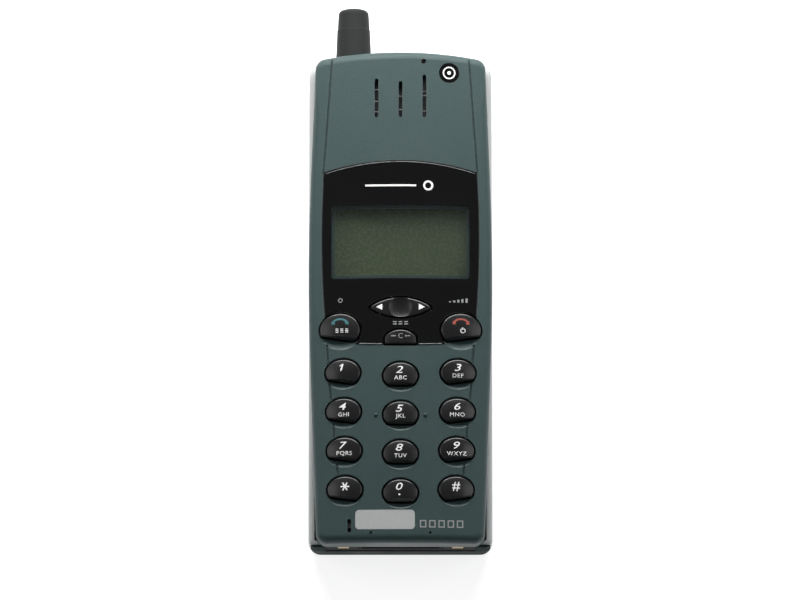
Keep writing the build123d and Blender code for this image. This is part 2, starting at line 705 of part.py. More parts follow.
def oval_key(x, up, side, length, height, dome):
    """A number key, the call key or the end key."""
    place = Pos(x, y_at(up))
    plan = place * dee_plan(length, height, side, 0)
    wide_plan = place * dee_plan(length, height, side, FLANGE_LIP)
    key = push_key(plan, wide_plan, x, up, dome)
    return key - foot_cutter(x, up, side * KEY_CHORD_TILT)


def clear_key():
    middle_up = CLEAR_FOOT_UP + CLEAR_KEY_HEIGHT / 2
    return push_key(clear_plan(), clear_plan(FLANGE_LIP), 0, middle_up, KEY_DOME, KEY_PROUD / 2)


def rocker_key():
    """A pointed oval rocker with a dished pad, on an axle that runs along the phone."""
    centre = Pos(0, y_at(ROCKER_UP))
    plan = centre * eye_outline(ROCKER_LENGTH, ROCKER_HEIGHT)
    base_z = crown_z(0, -BEZEL_THICKNESS)
    dome_form = centre * Pos(0, 0, crown_z(0, KEY_PROUD / 2) - ROCKER_DOME) * Sphere(ROCKER_DOME)
    head = prism(plan, base_z, BODY_THICKNESS + 2 * KEY_PROUD) & dome_form
    head = fillet(top_edges(head), KEY_EDGE_RADIUS)
    pad_radius = (ROCKER_PAD**2 / 4 + ROCKER_PAD_DEPTH**2) / (2 * ROCKER_PAD_DEPTH)
    pad_z = BODY_THICKNESS + KEY_PROUD / 2 - ROCKER_PAD_DEPTH + pad_radius
    head -= centre * Pos(0, 0, pad_z) * Sphere(pad_radius)
    stem = centre * Rectangle(ROCKER_PAD, ROCKER_HEIGHT / 2)
    head += prism(stem, ROCKER_AXLE_Z, base_z)
    for side in (-1, 1):
        plunger = Pos(side * ROCKER_PLUNGER_X, 0) * centre * Rectangle(PLUNGER_WIDTH / 2, PLUNGER_WIDTH / 2)
        head += prism(plunger, MAT_PAD_TOP + KEY_TRAVEL + PART_GAP, base_z)
    half = ROCKER_HEIGHT / 2 + ROCKER_GAP + PART_GAP + LUG_THICKNESS
    return head + rod_along_y(0, ROCKER_AXLE_Z, ROCKER_UP - half, ROCKER_UP + half, ROCKER_AXLE)


# ---- Under the keys -------------------------------------------------------------------------


def key_mat_plan(margin):
    """The area that the keypad mat and the dome sheet cover."""
    low = FIRST_ROW_UP - KEY_HEIGHT / 2 + FLANGE_LIP
    high = DISPLAY_UP - MID_POST_DROP - POST_DIAMETER / 2 - POST_CLEARANCE
    width = 2 * (board_half() - POST_CLEARANCE - margin)
    return Pos(0, y_at((low + high) / 2)) * RectangleRounded(width, high - low - 2 * margin, MAT_CORNER)


def all_push_places():
    """X and distance up of every key's stem."""
    places = [(x, up) for _, x, up, _ in number_keys() + call_keys()]
    places.append((0, CLEAR_FOOT_UP + CLEAR_KEY_HEIGHT / 2))
    return places + [(side * ROCKER_PLUNGER_X, ROCKER_UP) for side in (-1, 1)]


def dome_sheet():
    return prism(key_mat_plan(KEY_GAP), BOARD_TOP_Z, DOME_TOP_Z)


def keypad_mat():
    web = MAT_THICKNESS / 2
    mat = prism(key_mat_plan(0), DOME_TOP_Z, DOME_TOP_Z + web)
    for x, up in all_push_places():
        pad = Pos(x, y_at(up)) * Circle(PAD_DIAMETER / 2)
        mat += prism(pad, DOME_TOP_Z, MAT_PAD_TOP)
    return mat


# ---- Display stack --------------------------------------------------------------------------

FRAME_TOP_Z = crown_z(DISPLAY_HALF + LENS_LEDGE, -COVER_WALL - FIT_GAP)
POCKET_TOP_Z = BOARD_TOP_Z + LIGHT_GUIDE_THICKNESS + LCD_THICKNESS


def display_place(z_low, z_high, inset, side_only=0.0):
    """A slab under the display opening."""
    width = 2 * (DISPLAY_HALF - inset)
    height = DISPLAY_HEIGHT - 2 * (inset + side_only)
    middle_y = y_at(DISPLAY_UP + DISPLAY_HEIGHT / 2)
    return prism(Pos(0, middle_y) * Rectangle(width, height), z_low, z_high)


def display_frame():
    frame = display_place(BOARD_TOP_Z, FRAME_TOP_Z, -LENS_LEDGE)
    frame -= display_place(BOARD_TOP_Z, POCKET_TOP_Z, -FIT_GAP)
    return frame - display_place(BOARD_TOP_Z, FRAME_TOP_Z, LENS_LEDGE / 2)


def display_panel():
    return display_place(POCKET_TOP_Z - LCD_THICKNESS, POCKET_TOP_Z, 0)


def light_guide():
    return display_place(BOARD_TOP_Z, POCKET_TOP_Z - LCD_THICKNESS, 0, STRIP_WIDTH + FIT_GAP)


def contact_strips():
    whole = display_place(BOARD_TOP_Z, POCKET_TOP_Z - LCD_THICKNESS, 0)
    return whole - display_place(BOARD_TOP_Z, POCKET_TOP_Z, -1, STRIP_WIDTH + 1)


# ---- Board and what is on it ----------------------------------------------------------------

ANTENNA_SEAT_UP = BODY_LENGTH - ANTENNA_SEAT_DROP
COLLAR_LENGTH = STUD_LENGTH + 2 * REAR_WALL
BOARD_TOP_UP = ANTENNA_SEAT_UP - COLLAR_LENGTH - POST_CLEARANCE
BOARD_LOW_UP = COVER_WALL + 0.8


def board_half():
    """Half the board's width: it clears the cover's wall at its narrowest place."""
    return HALF_WIDTH - COVER_BOTTOM_INSET - COVER_WALL - 2 * POST_CLEARANCE


def main_board():
    half = board_half()
    middle = y_at((BOARD_LOW_UP + BOARD_TOP_UP) / 2)
    plan = Pos(0, middle) * Rectangle(2 * half, BOARD_TOP_UP - BOARD_LOW_UP)
    board = prism(plan, BOARD_BACK_Z, BOARD_TOP_Z)
    for x, up in post_places():
        clear = Pos(x, y_at(up)) * Circle(POST_DIAMETER / 2 + POST_CLEARANCE)
        board -= prism(clear, BOARD_BACK_Z, BOARD_TOP_Z)
    return board


def shield_cans():
    """Two folded tin lids over the radio and the processor, on the back of the board."""
    cans = []
    for width, length, up in SHIELDS:
        middle = y_at(up)
        plan = Pos(0, middle) * RectangleRounded(width, length, SHIELD_HEIGHT / 4)
        inner = Pos(0, middle) * Rectangle(width - 2 * SHIELD_WALL, length - 2 * SHIELD_WALL)
        can = prism(plan, BOARD_BACK_Z - SHIELD_HEIGHT, BOARD_BACK_Z)
        cans.append(can - prism(inner, BOARD_BACK_Z - SHIELD_HEIGHT + SHIELD_WALL, BOARD_BACK_Z))
    return Compound(children=cans)


def earpiece_place():
    return Pos(0, y_at(BODY_LENGTH - EARPIECE_DROP))


def earpiece_top_z():
    return crown_z(EARPIECE_DIAMETER / 2 + GASKET_WALL, -COVER_WALL - CLOTH_THICKNESS - FIT_GAP)


def earpiece():
    plan = earpiece_place() * Circle(EARPIECE_DIAMETER / 2)
    top = earpiece_top_z() - GASKET_WALL
    return prism(plan, top - EARPIECE_THICKNESS, top)


def earpiece_gasket():
    outer = earpiece_place() * Circle(EARPIECE_DIAMETER / 2 + GASKET_WALL)
    bore = earpiece_place() * Circle(EARPIECE_DIAMETER / 2 - GASKET_WALL)
    seat = earpiece_place() * Circle(EARPIECE_DIAMETER / 2)
    top = earpiece_top_z()
    ring = prism(outer, top - GASKET_WALL - EARPIECE_THICKNESS / 2, top)
    ring -= prism(seat, top - EARPIECE_THICKNESS, top - GASKET_WALL)
    return ring - prism(bore, top - EARPIECE_THICKNESS, top)


def grille_cloth():
    width = 2 * SLOT_SPACING + 3 * SLOT_WIDTH
    length = max(SLOT_LENGTHS) + 2 * SLOT_WIDTH
    middle = y_at(BODY_LENGTH - SLOT_FOOT_DROP + max(SLOT_LENGTHS) / 2)
    plan = Pos(0, middle) * RectangleRounded(width, length, SLOT_WIDTH)
    return crown_layer(plan, -COVER_WALL - CLOTH_THICKNESS, -COVER_WALL)


def microphone():
    plan = Pos(MIC_X, y_at(MIC_UP + BOARD_LOW_UP / 4)) * Circle(MIC_DIAMETER / 2)
    return prism(plan, BOARD_TOP_Z + FIT_GAP, BOARD_TOP_Z + FIT_GAP + MIC_HEIGHT)


def microphone_boot():
    place = Pos(MIC_X, y_at(MIC_UP + BOARD_LOW_UP / 4))
    radius = MIC_DIAMETER / 2 + MIC_BOOT_WALL
    top = crown_z(abs(MIC_X) + radius, -COVER_WALL - FIT_GAP)
    boot = prism(place * Circle(radius), BOARD_TOP_Z, top)
    boot -= prism(place * Circle(MIC_DIAMETER / 2), BOARD_TOP_Z, BOARD_TOP_Z + FIT_GAP + MIC_HEIGHT)
    return boot - prism(place * Circle(SLOT_WIDTH), BOARD_TOP_Z, top)


def buzzer():
    place = Pos(BUZZER_X, y_at(WINDOW_TOP_UP + BUZZER_RISE))
    body = prism(place * Circle(BUZZER_DIAMETER / 2), BOARD_TOP_Z, BOARD_TOP_Z + BUZZER_HEIGHT)
    hole = place * Circle(SLOT_WIDTH)
    return body - prism(hole, BOARD_TOP_Z + BUZZER_HEIGHT / 2, BOARD_TOP_Z + BUZZER_HEIGHT)


def backup_cell():
    place = Pos(BACKUP_X, y_at(BACKUP_UP))
    plan = place * Circle(BACKUP_DIAMETER / 2)
    return prism(plan, BOARD_BACK_Z - BACKUP_HEIGHT, BOARD_BACK_Z)


# ---- Rear housing and what it holds ---------------------------------------------------------

HUMP_UP = BATTERY_LENGTH + 2 * PART_GAP


def end_band(low_up, high_up, low_z, high_z):
    """A slab as wide as the world between two distances up."""
    return box_between((-BODY_WIDTH, y_at(low_up), low_z), (BODY_WIDTH, y_at(high_up), high_z))


def rear_block(inset, low_z, high_z, hump_low_z):
    """The rear housing's solid: a shallow tray with a deep hump above the battery."""
    tray = prism(rear_outline(inset), low_z, high_z)
    hump = prism(rear_outline(inset), hump_low_z, low_z)
    return tray + (hump & end_band(HUMP_UP + inset, BODY_LENGTH, hump_low_z, low_z))


def hook_places():
    return mirrored_pairs([(HOOK_X, LOW_HOOK_UP), (HOOK_X, HIGH_HOOK_UP)])


def latch_plate_size():
    return LATCH_WIDTH + 2 * LATCH_PLATE_MARGIN, LATCH_LENGTH + 2 * LATCH_PLATE_MARGIN


def tongue_levels():
    low = HUMP_BACK_Z + REAR_WALL + PART_GAP
    return low, low + LATCH_PLATE


def rear_housing():
    shell = rear_block(0, REAR_BACK_Z, PARTING_Z, HUMP_BACK_Z)
    top_rim = [edge for edge in shell.edges() if edge.center().Z > PARTING_Z - FIT_GAP]
    shell = fillet(top_rim, REAR_EDGE_RADIUS)
    back_rim = [edge for edge in shell.edges() if edge.center().Z < HUMP_BACK_Z + FIT_GAP
                and edge.center().Y > y_at(HUMP_UP) + FIT_GAP]
    shell = fillet(back_rim, BACK_EDGE_RADIUS)
    shell -= rear_block(REAR_WALL, REAR_FLOOR_Z, PARTING_Z, HUMP_BACK_Z + REAR_WALL)
    collar_foot = ANTENNA_SEAT_UP - COLLAR_LENGTH
    shell += rod_along_y(ANTENNA_X, ANTENNA_Z, collar_foot, ANTENNA_SEAT_UP, COLLAR_DIAMETER)
    shell -= rod_along_y(ANTENNA_X, ANTENNA_Z, collar_foot, BODY_LENGTH, INSERT_DIAMETER)
    for x, up in post_places():
        post = Pos(x, y_at(up)) * Circle(REAR_POST_DIAMETER / 2)
        bore = Pos(x, y_at(up)) * Circle(SCREW_DIAMETER / 2 + PART_GAP)
        head = Pos(x, y_at(up)) * Circle(SCREW_HEAD_DIAMETER / 2 + PART_GAP)
        back = REAR_BACK_Z if up < HUMP_UP else HUMP_BACK_Z
        shell += prism(post, back + REAR_WALL / 2, BOARD_BACK_Z)
        shell -= prism(bore, back, PARTING_Z)
        shell -= prism(head, back, screw_seat_z(up))
    shell -= connector_opening()
    shell += latch_stop()
    for x, up in hook_places():
        neck = HOOK_NECK / 2 + PART_GAP
        head = HOOK_HEAD / 2 + PART_GAP
        low = up - BATTERY_TRAVEL
        shell -= box_between((x - neck, y_at(low), REAR_BACK_Z),
                             (x + neck, y_at(up + HOOK_LENGTH / 2 + PART_GAP), REAR_FLOOR_Z))
        shell -= box_between((x - head, y_at(low - HOOK_LENGTH / 2 - PART_GAP), REAR_BACK_Z),
                             (x + head, y_at(low + HOOK_LENGTH / 2 + PART_GAP), REAR_FLOOR_Z))
    shell -= block_prism(FIT_GAP, REAR_BACK_Z, REAR_FLOOR_Z)
    low, high = tongue_levels()
    half = TONGUE_WIDTH / 2 + PART_GAP
    strike_top = high + STRIKE_THICKNESS + 2 * PART_GAP
    shell -= box_between((-half, y_at(HUMP_UP), low - PART_GAP),
                         (half, y_at(HUMP_UP + 2 * REAR_WALL), strike_top))
    wide, tall = LATCH_WIDTH / 2 + PART_GAP, LATCH_LENGTH / 2 + PART_GAP
    high_y = y_at(LATCH_UP + tall + LATCH_TRAVEL)
    return shell - box_between((-wide, y_at(LATCH_UP - tall), HUMP_BACK_Z),
                               (wide, high_y, HUMP_BACK_Z + REAR_WALL))


def latch_stop():
    """A rib across the hump that the latch's spring pushes against."""
    _, plate_length = latch_plate_size()
    spring_length = 2 * SPRING_WIRE * (SPRING_TURNS + 1)
    low = LATCH_UP + plate_length / 2 + LATCH_TRAVEL + 2 * PART_GAP + spring_length
    return box_between((-SPRING_DIAMETER, y_at(low), HUMP_BACK_Z + REAR_WALL / 2),
                       (SPRING_DIAMETER, y_at(low + LATCH_STOP), tongue_levels()[1] + SPRING_DIAMETER))


def screw_seat_z(up):
    """Height of the shoulder that a screw's head pulls against."""
    if up < HUMP_UP:
        return REAR_BACK_Z + SCREW_HEAD_HEIGHT + REAR_WALL
    return PARTING_Z - SCREW_BITE


def connector_opening():
    reach = HALF_WIDTH - PANEL_SIDE_INSET
    return box_between((-reach, y_at(0) - 1, REAR_BACK_Z), (reach, y_at(REAR_WALL), PARTING_Z))


def connector_panel():
    """The black panel between the frame's lower corners, with the connector's mouth."""
    reach = HALF_WIDTH - PANEL_SIDE_INSET - FIT_GAP
    panel = box_between((-reach, y_at(REAR_WALL - PANEL_THICKNESS), REAR_BACK_Z),
                        (reach, y_at(REAR_WALL), PARTING_Z))
    panel -= socket_prism(PART_GAP, REAR_WALL)
    for side in (-1, 1):
        panel -= charge_pad_prism(side, FIT_GAP)
    return panel


def socket_middle_z():
    return BOARD_BACK_Z - SOCKET_HEIGHT / 2


def socket_prism(gap, depth):
    half = SOCKET_WIDTH / 2 + gap
    tall = SOCKET_HEIGHT / 2 + gap
    middle = socket_middle_z()
    return box_between((-half, y_at(-gap), middle - tall), (half, y_at(depth), middle + tall))


def system_connector():
    """A shallow shroud on the board's edge with a contact tongue inside."""
    shroud = socket_prism(0, SOCKET_DEPTH + REAR_WALL)
    shroud -= end_band(-1, REAR_WALL - PANEL_THICKNESS, 0, PARTING_Z)
    shroud -= socket_prism(-SOCKET_WALL, SOCKET_DEPTH)
    shroud -= socket_prism(-SOCKET_WALL, SOCKET_DEPTH).moved(Pos(0, -2 * SOCKET_WALL, 0))
    middle = socket_middle_z()
    tongue = SOCKET_WIDTH / 2 - 3 * SOCKET_WALL
    return shroud + box_between((-tongue, y_at(REAR_WALL), middle - SOCKET_WALL / 2),
                                (tongue, y_at(SOCKET_DEPTH + SOCKET_WALL), middle + SOCKET_WALL / 2))


def connector_pins():
    """The flat pins on top of the connector's tongue."""
    reach = SOCKET_WIDTH / 2 - 4 * SOCKET_WALL
    pitch = 2 * reach / (SOCKET_PINS - 1)
    top = socket_middle_z() + SOCKET_WALL / 2
    pins = []
    for place in range(SOCKET_PINS):
        x = place * pitch - reach
        pins.append(box_between((x - pitch / 4, y_at(REAR_WALL + SOCKET_WALL), top),
                                (x + pitch / 4, y_at(SOCKET_DEPTH - SOCKET_WALL), top + CONTACT_STOCK)))
    return Compound(children=pins)


def charge_pad_prism(side, gap):
    x = side * CHARGE_X
    half = CHARGE_SIZE / 2 + gap
    middle = socket_middle_z()
    return box_between((x - half, y_at(0), middle - half), (x + half, y_at(REAR_WALL), middle + half))


def charging_contacts():
    pads = []
    for side in (-1, 1):
        pad = charge_pad_prism(side, 0)
        pads.append(pad - end_band(-1, REAR_WALL - PANEL_THICKNESS + FIT_GAP, 0, PARTING_Z))
    return Compound(children=pads)


def housing_screws():
    """Six pan-head screws that clamp the front cover to the rear housing."""
    screws = []
    for x, up in post_places():
        place = Pos(x, y_at(up))
        seat = screw_seat_z(up)
        shank = prism(place * Circle(SCREW_DIAMETER / 2), seat, PARTING_Z + SCREW_BITE - PART_GAP)
        head = prism(place * Circle(SCREW_HEAD_DIAMETER / 2), seat - SCREW_HEAD_HEIGHT, seat)
        slot = place * Rectangle(SCREW_SLOT_LENGTH, SCREW_SLOT_WIDTH)
        cross = place * Rectangle(SCREW_SLOT_WIDTH, SCREW_SLOT_LENGTH)
        recess = seat - SCREW_HEAD_HEIGHT / 2
        head -= prism(slot, seat - SCREW_HEAD_HEIGHT, recess)
        head -= prism(cross, seat - SCREW_HEAD_HEIGHT, recess)
        screws.append(shank + head)
    return Compound(children=screws)


# ---- Antenna --------------------------------------------------------------------------------


def antenna_axis(shape):
    """Stand a shape that is modelled along +Z on the antenna's seat, along the phone."""
    return Pos(ANTENNA_X, y_at(ANTENNA_SEAT_UP), ANTENNA_Z) * Rot(-90, 0, 0) * shape


def antenna_height():
    return BODY_LENGTH + ANTENNA_RISE - ANTENNA_SEAT_UP


def antenna_sleeve():
    """The tapered rubber sleeve: a soft step below the tip and a rounded top."""
    height = antenna_height()
    base = ANTENNA_BASE_DIAMETER / 2
    tip = ANTENNA_TIP_DIAMETER / 2
    step = height - ANTENNA_STEP_DROP
    at_step = base + (tip - base) * step / height
    profile = Polyline([(0, 0), (base, 0), (at_step + ANTENNA_STEP, step), (at_step, step + ANTENNA_STEP),
                        (tip, height), (0, height)], close=True)
    body = revolve(Plane.XZ * make_face(profile), Axis.Z)
    tip_edge = body.edges().sort_by(Axis.Z)[-1]
    body = fillet(tip_edge, ANTENNA_ROUNDING)
    room = height - 3 * ANTENNA_ROUNDING / 2
    bore = Pos(0, 0, room / 2) * Cylinder(SLEEVE_BORE / 2, room)
    return antenna_axis(body - bore)


def antenna_core():
    """The threaded brass stud and the former that carries the coil."""
    stud = Pos(0, 0, -STUD_LENGTH / 2) * Cylinder(STUD_DIAMETER / 2, STUD_LENGTH)
    foot = Pos(0, 0, ANTENNA_ROUNDING / 2) * Cylinder(SLEEVE_BORE / 2 - FIT_GAP, ANTENNA_ROUNDING)
    length = antenna_height() - 2 * ANTENNA_ROUNDING
    former = Pos(0, 0, length / 2) * Cylinder(FORMER_DIAMETER / 2, length)
    return antenna_axis(stud + foot + former)


def wound_wire(diameter, wire, pitch, turns):
    """A helical spring along +Z from z = 0."""
    path = Helix(pitch, pitch * turns, diameter / 2)
    section = Plane(origin=path @ 0, z_dir=path % 0) * Circle(wire / 2)
    return sweep(section, path=path)


def antenna_coil():
    radius_room = FIT_GAP + COIL_WIRE
    coil = wound_wire(FORMER_DIAMETER + radius_room + FIT_GAP, COIL_WIRE, COIL_PITCH, COIL_TURNS)
    return antenna_axis(Pos(0, 0, ANTENNA_ROUNDING + COIL_WIRE) * coil)


def antenna_insert():
    """The brass insert in the housing's collar that the stud screws into."""
    top = ANTENNA_SEAT_UP - FIT_GAP
    outer = rod_along_y(ANTENNA_X, ANTENNA_Z, top - STUD_LENGTH, top, INSERT_DIAMETER - FIT_GAP)
    return outer - rod_along_y(ANTENNA_X, ANTENNA_Z, 0, BODY_LENGTH, STUD_DIAMETER + FIT_GAP)


# ---- Battery --------------------------------------------------------------------------------


def battery_outline(inset=0.0):
    """Straight sides, round corners at the bottom end and a straight head."""
    width = BODY_WIDTH - 2 * inset
    length = BATTERY_LENGTH - 2 * inset
    corner = max(BATTERY_CORNER - inset, BATTERY_CORNER / 4)
    return Pos(0, y_at(BATTERY_LENGTH / 2)) * RectangleRounded(width, length, corner)


def strike_prism(gap):
    """The plate in the battery's head that the latch's tongue holds from behind."""
    low = tongue_levels()[1] + PART_GAP
    half = STRIKE_WIDTH / 2 + gap
    return box_between((-half, y_at(BATTERY_LENGTH - STRIKE_ROOT), low - gap),
                       (half, y_at(BATTERY_LENGTH + STRIKE_REACH), low + STRIKE_THICKNESS + gap))


def battery_strike():
    return strike_prism(0)


def battery_shell():
    block = prism(battery_outline(), 0, BATTERY_DEPTH)
    back_rim = [edge for edge in block.edges() if edge.center().Z < FIT_GAP]
    block = fillet(back_rim, BATTERY_CORNER - 2 * FIT_GAP)
    block -= prism(battery_outline(BATTERY_WALL), BATTERY_WALL, BATTERY_DEPTH)
    return block - strike_prism(FIT_GAP)


def battery_lid():
    """The inner plate of the pack, with four hooks that hold it to the rear housing."""
    low = BATTERY_DEPTH - LID_THICKNESS
    lid = prism(battery_outline(BATTERY_WALL + FIT_GAP), low, BATTERY_DEPTH)
    head_low = REAR_FLOOR_Z + PART_GAP
    for x, up in hook_places():
        start_y, end_y = y_at(up - HOOK_LENGTH / 2), y_at(up + HOOK_LENGTH / 2)
        neck, head = HOOK_NECK / 2, HOOK_HEAD / 2
        lid += box_between((x - neck, start_y, low), (x + neck, end_y, head_low))
        lid += box_between((x - head, start_y, head_low), (x + head, end_y, head_low + HOOK_NECK))
    for x in contact_columns():
        lid -= terminal_prism(x, FIT_GAP)
    return lid


def contact_columns():
    return [place * CONTACT_PITCH for place in (-1, 0, 1)]


def terminal_prism(x, gap):
    wide, long = CONTACT_WIDTH / 2 + gap, CONTACT_LENGTH / 2 + gap
    return box_between((x - wide, y_at(CONTACT_UP - long), BATTERY_DEPTH - 2 * CONTACT_STOCK),
                       (x + wide, y_at(CONTACT_UP + long), BATTERY_DEPTH))


def battery_terminals():
    return Compound(children=[terminal_prism(x, 0) for x in contact_columns()])


def battery_cells():
    """Four flat cells, two across and two along."""
    low = BATTERY_WALL + FIT_GAP
    high = BATTERY_DEPTH - LID_THICKNESS - CELL_GAP
    inner_half = HALF_WIDTH - CELL_SIDE_ROOM - BATTERY_WALL
    length = (BATTERY_LENGTH - 2 * BATTERY_WALL - CELL_END_ROOM) / 2
    cells = []
    for side in (-1, 1):
        for place in (0, 1):
            low_up = BATTERY_WALL + CELL_GAP + place * length
            size = (inner_half - CELL_GAP / 2, length - CELL_GAP, high - low)
            middle = (side * (inner_half + CELL_GAP / 2) / 2, y_at(low_up + size[1] / 2), (low + high) / 2)
            cell = Pos(*middle) * Box(*size)
            cells.append(fillet(cell.edges().filter_by(Axis.Y), CELL_GAP * 2))
    return Compound(children=cells)


def battery_board():
    """The narrow protection board across the head of the pack."""
    high_up = BATTERY_LENGTH - BATTERY_WALL - CELL_GAP
    half = HALF_WIDTH - 2 * CELL_SIDE_ROOM
    low = BATTERY_DEPTH - LID_THICKNESS - CELL_GAP - BOARD_THICKNESS
    return box_between((-half, y_at(high_up - CELL_END_ROOM + 3 * CELL_GAP), low),
                       (half, y_at(high_up), low + BOARD_THICKNESS))


# ---- Battery contacts and latch -------------------------------------------------------------


def block_prism(gap, low_z, high_z):
    wide, long = BLOCK_WIDTH / 2 + gap, BLOCK_LENGTH / 2 + gap
    return box_between((-wide, y_at(CONTACT_UP - long), low_z), (wide, y_at(CONTACT_UP + long), high_z))


def contact_block():
    """The plastic block that carries the battery springs, slotted for each of them."""
    block = block_prism(0, REAR_BACK_Z, BOARD_BACK_Z)
    for x in contact_columns():
        half = CONTACT_WIDTH / 2 + FIT_GAP
        block -= box_between((x - half, y_at(CONTACT_UP - CONTACT_LENGTH / 2 - 2 * FIT_GAP), REAR_BACK_Z),
                             (x + half, y_at(CONTACT_UP + CONTACT_LENGTH / 2 + 2 * FIT_GAP), BOARD_BACK_Z))
    return block


def battery_contacts():
    """Bent strips that press on the battery's terminals."""
    springs = []
    tip_z = BATTERY_DEPTH + PART_GAP / 2
    low_y = y_at(CONTACT_UP - CONTACT_LENGTH / 2)
    high_y = y_at(CONTACT_UP + CONTACT_LENGTH / 2)
    middle_y = y_at(CONTACT_UP)
    top_z = BOARD_BACK_Z - FIT_GAP
    for x in contact_columns():
        half = CONTACT_WIDTH / 2
        foot = box_between((x - half, low_y, top_z - CONTACT_STOCK), (x + half, high_y, top_z))
        leg = box_between((x - half, low_y, tip_z + 1), (x + half, low_y + CONTACT_STOCK, top_z))
        shelf = box_between((x - half, low_y, tip_z + 1), (x + half, middle_y, tip_z + 1 + CONTACT_STOCK))
        nose = box_between((x - half, middle_y - CONTACT_STOCK, tip_z), (x + half, middle_y, tip_z + 1))
        toe = box_between((x - half, middle_y - CONTACT_STOCK, tip_z),
                          (x + half, middle_y + 1, tip_z + CONTACT_STOCK))
        springs.append(foot + leg + shelf + nose + toe)
    return Compound(children=springs)


def battery_latch():
    """A ribbed slider in the hump's back, with a tongue behind the battery's strike."""
    plate_width, plate_length = latch_plate_size()
    low, high = tongue_levels()
    button = box_between((-LATCH_WIDTH / 2, y_at(LATCH_UP - LATCH_LENGTH / 2), HUMP_BACK_Z + FIT_GAP),
                         (LATCH_WIDTH / 2, y_at(LATCH_UP + LATCH_LENGTH / 2), low))
    for place in (-1, 0, 1):
        rib_y = y_at(LATCH_UP + place * LATCH_LENGTH / 4)
        button -= box_between((-LATCH_WIDTH / 3, rib_y - RIB_GROOVE, HUMP_BACK_Z),
                              (LATCH_WIDTH / 3, rib_y + RIB_GROOVE, HUMP_BACK_Z + 2 * RIB_GROOVE))
    plate = box_between((-plate_width / 2, y_at(LATCH_UP - plate_length / 2), low),
                        (plate_width / 2, y_at(LATCH_UP + plate_length / 2), high))
    tongue = box_between((-TONGUE_WIDTH / 2, y_at(HUMP_UP + PART_GAP), low),
                         (TONGUE_WIDTH / 2, y_at(LATCH_UP), high))
    post_low = y_at(LATCH_UP + plate_length / 2 - LATCH_PLATE)
    post = box_between((-SPRING_DIAMETER, post_low, high),
                       (SPRING_DIAMETER, y_at(LATCH_UP + plate_length / 2), high + SPRING_DIAMETER))
    return button + plate + tongue + post


def latch_spring():
    """The latch's return spring at its shortest length, against the stop in the hump."""
    _, plate_length = latch_plate_size()
    start = y_at(LATCH_UP + plate_length / 2 + LATCH_TRAVEL + PART_GAP)
    spring = wound_wire(SPRING_DIAMETER - SPRING_WIRE, SPRING_WIRE, 2 * SPRING_WIRE, SPRING_TURNS)
    return Pos(0, start, tongue_levels()[1] + SPRING_DIAMETER / 2) * Rot(-90, 0, 0) * spring


# ---- Every piece, written under its own name ------------------------------------------------


def all_pieces():
    """Each node's name and its solid or group of solids."""
    single = [
        front_cover, window_bezel, display_lens, led_lens, badge, blank_label, grille_cloth,
        clear_key, rocker_key, keypad_mat, dome_sheet,
        display_frame, display_panel, light_guide, contact_strips,
        main_board, shield_cans, earpiece, earpiece_gasket, microphone, microphone_boot,
        buzzer, backup_cell,
        rear_housing, connector_panel, system_connector, connector_pins, charging_contacts, housing_screws,
        antenna_sleeve, antenna_core, antenna_coil, antenna_insert,
        battery_shell, battery_lid, battery_strike, battery_terminals, battery_cells, battery_board,
        contact_block, battery_contacts, battery_latch, latch_spring,
    ]
    pieces = {make.__name__: make() for make in single}
    for name, *place_and_size in oval_keys():
        pieces["key_" + name] = oval_key(*place_and_size)
    return pieces


os.makedirs("parts", exist_ok=True)
for node, shape in all_pieces().items():
    export_step(shape, f"parts/{node}.step")
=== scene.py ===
# %% [markdown]
# # An early mobile phone, dressed for its picture
#
# The phone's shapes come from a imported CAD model, in metres, with its back on z = 0. The keys
# look at +Z and the antenna points along +Y. This lesson gives every visible surface its finish,
# and models the small printed and moulded pieces that the CAD leaves out.
# We load the fixed frame first, because every other piece takes its place from it.

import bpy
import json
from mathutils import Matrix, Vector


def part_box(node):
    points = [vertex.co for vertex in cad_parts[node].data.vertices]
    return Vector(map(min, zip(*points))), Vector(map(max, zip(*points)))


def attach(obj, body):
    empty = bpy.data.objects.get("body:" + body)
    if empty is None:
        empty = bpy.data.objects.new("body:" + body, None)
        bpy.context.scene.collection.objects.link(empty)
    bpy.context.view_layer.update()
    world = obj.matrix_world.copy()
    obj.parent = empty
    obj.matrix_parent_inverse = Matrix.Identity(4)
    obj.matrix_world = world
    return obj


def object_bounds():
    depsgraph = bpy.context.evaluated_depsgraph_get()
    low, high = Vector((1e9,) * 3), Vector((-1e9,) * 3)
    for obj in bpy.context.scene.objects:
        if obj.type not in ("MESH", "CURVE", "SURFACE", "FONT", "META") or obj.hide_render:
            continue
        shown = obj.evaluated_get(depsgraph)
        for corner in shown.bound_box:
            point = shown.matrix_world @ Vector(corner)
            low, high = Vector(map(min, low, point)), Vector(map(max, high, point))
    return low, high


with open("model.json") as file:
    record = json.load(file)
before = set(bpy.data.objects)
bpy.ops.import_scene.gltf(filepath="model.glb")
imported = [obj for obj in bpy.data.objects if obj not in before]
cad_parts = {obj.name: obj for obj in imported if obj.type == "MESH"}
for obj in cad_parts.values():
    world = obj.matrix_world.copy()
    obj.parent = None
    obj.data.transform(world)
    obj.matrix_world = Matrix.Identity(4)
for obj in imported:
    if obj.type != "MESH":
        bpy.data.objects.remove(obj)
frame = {"nodes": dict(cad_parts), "record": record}
cad_box = [list(corner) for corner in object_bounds()]

import json
import math

import bmesh
import bpy
from mathutils import Matrix, Vector
from mathutils.bvhtree import BVHTree

MM = 0.001
nodes = frame["nodes"]
print("pieces in the frame:", len(nodes))
print("frame's own place:", [round(value, 4) for value in nodes["rear_housing"].matrix_world.translation])
print("phone size in mm:", [round((high - low) / MM, 1) for low, high in zip(*cad_box)])

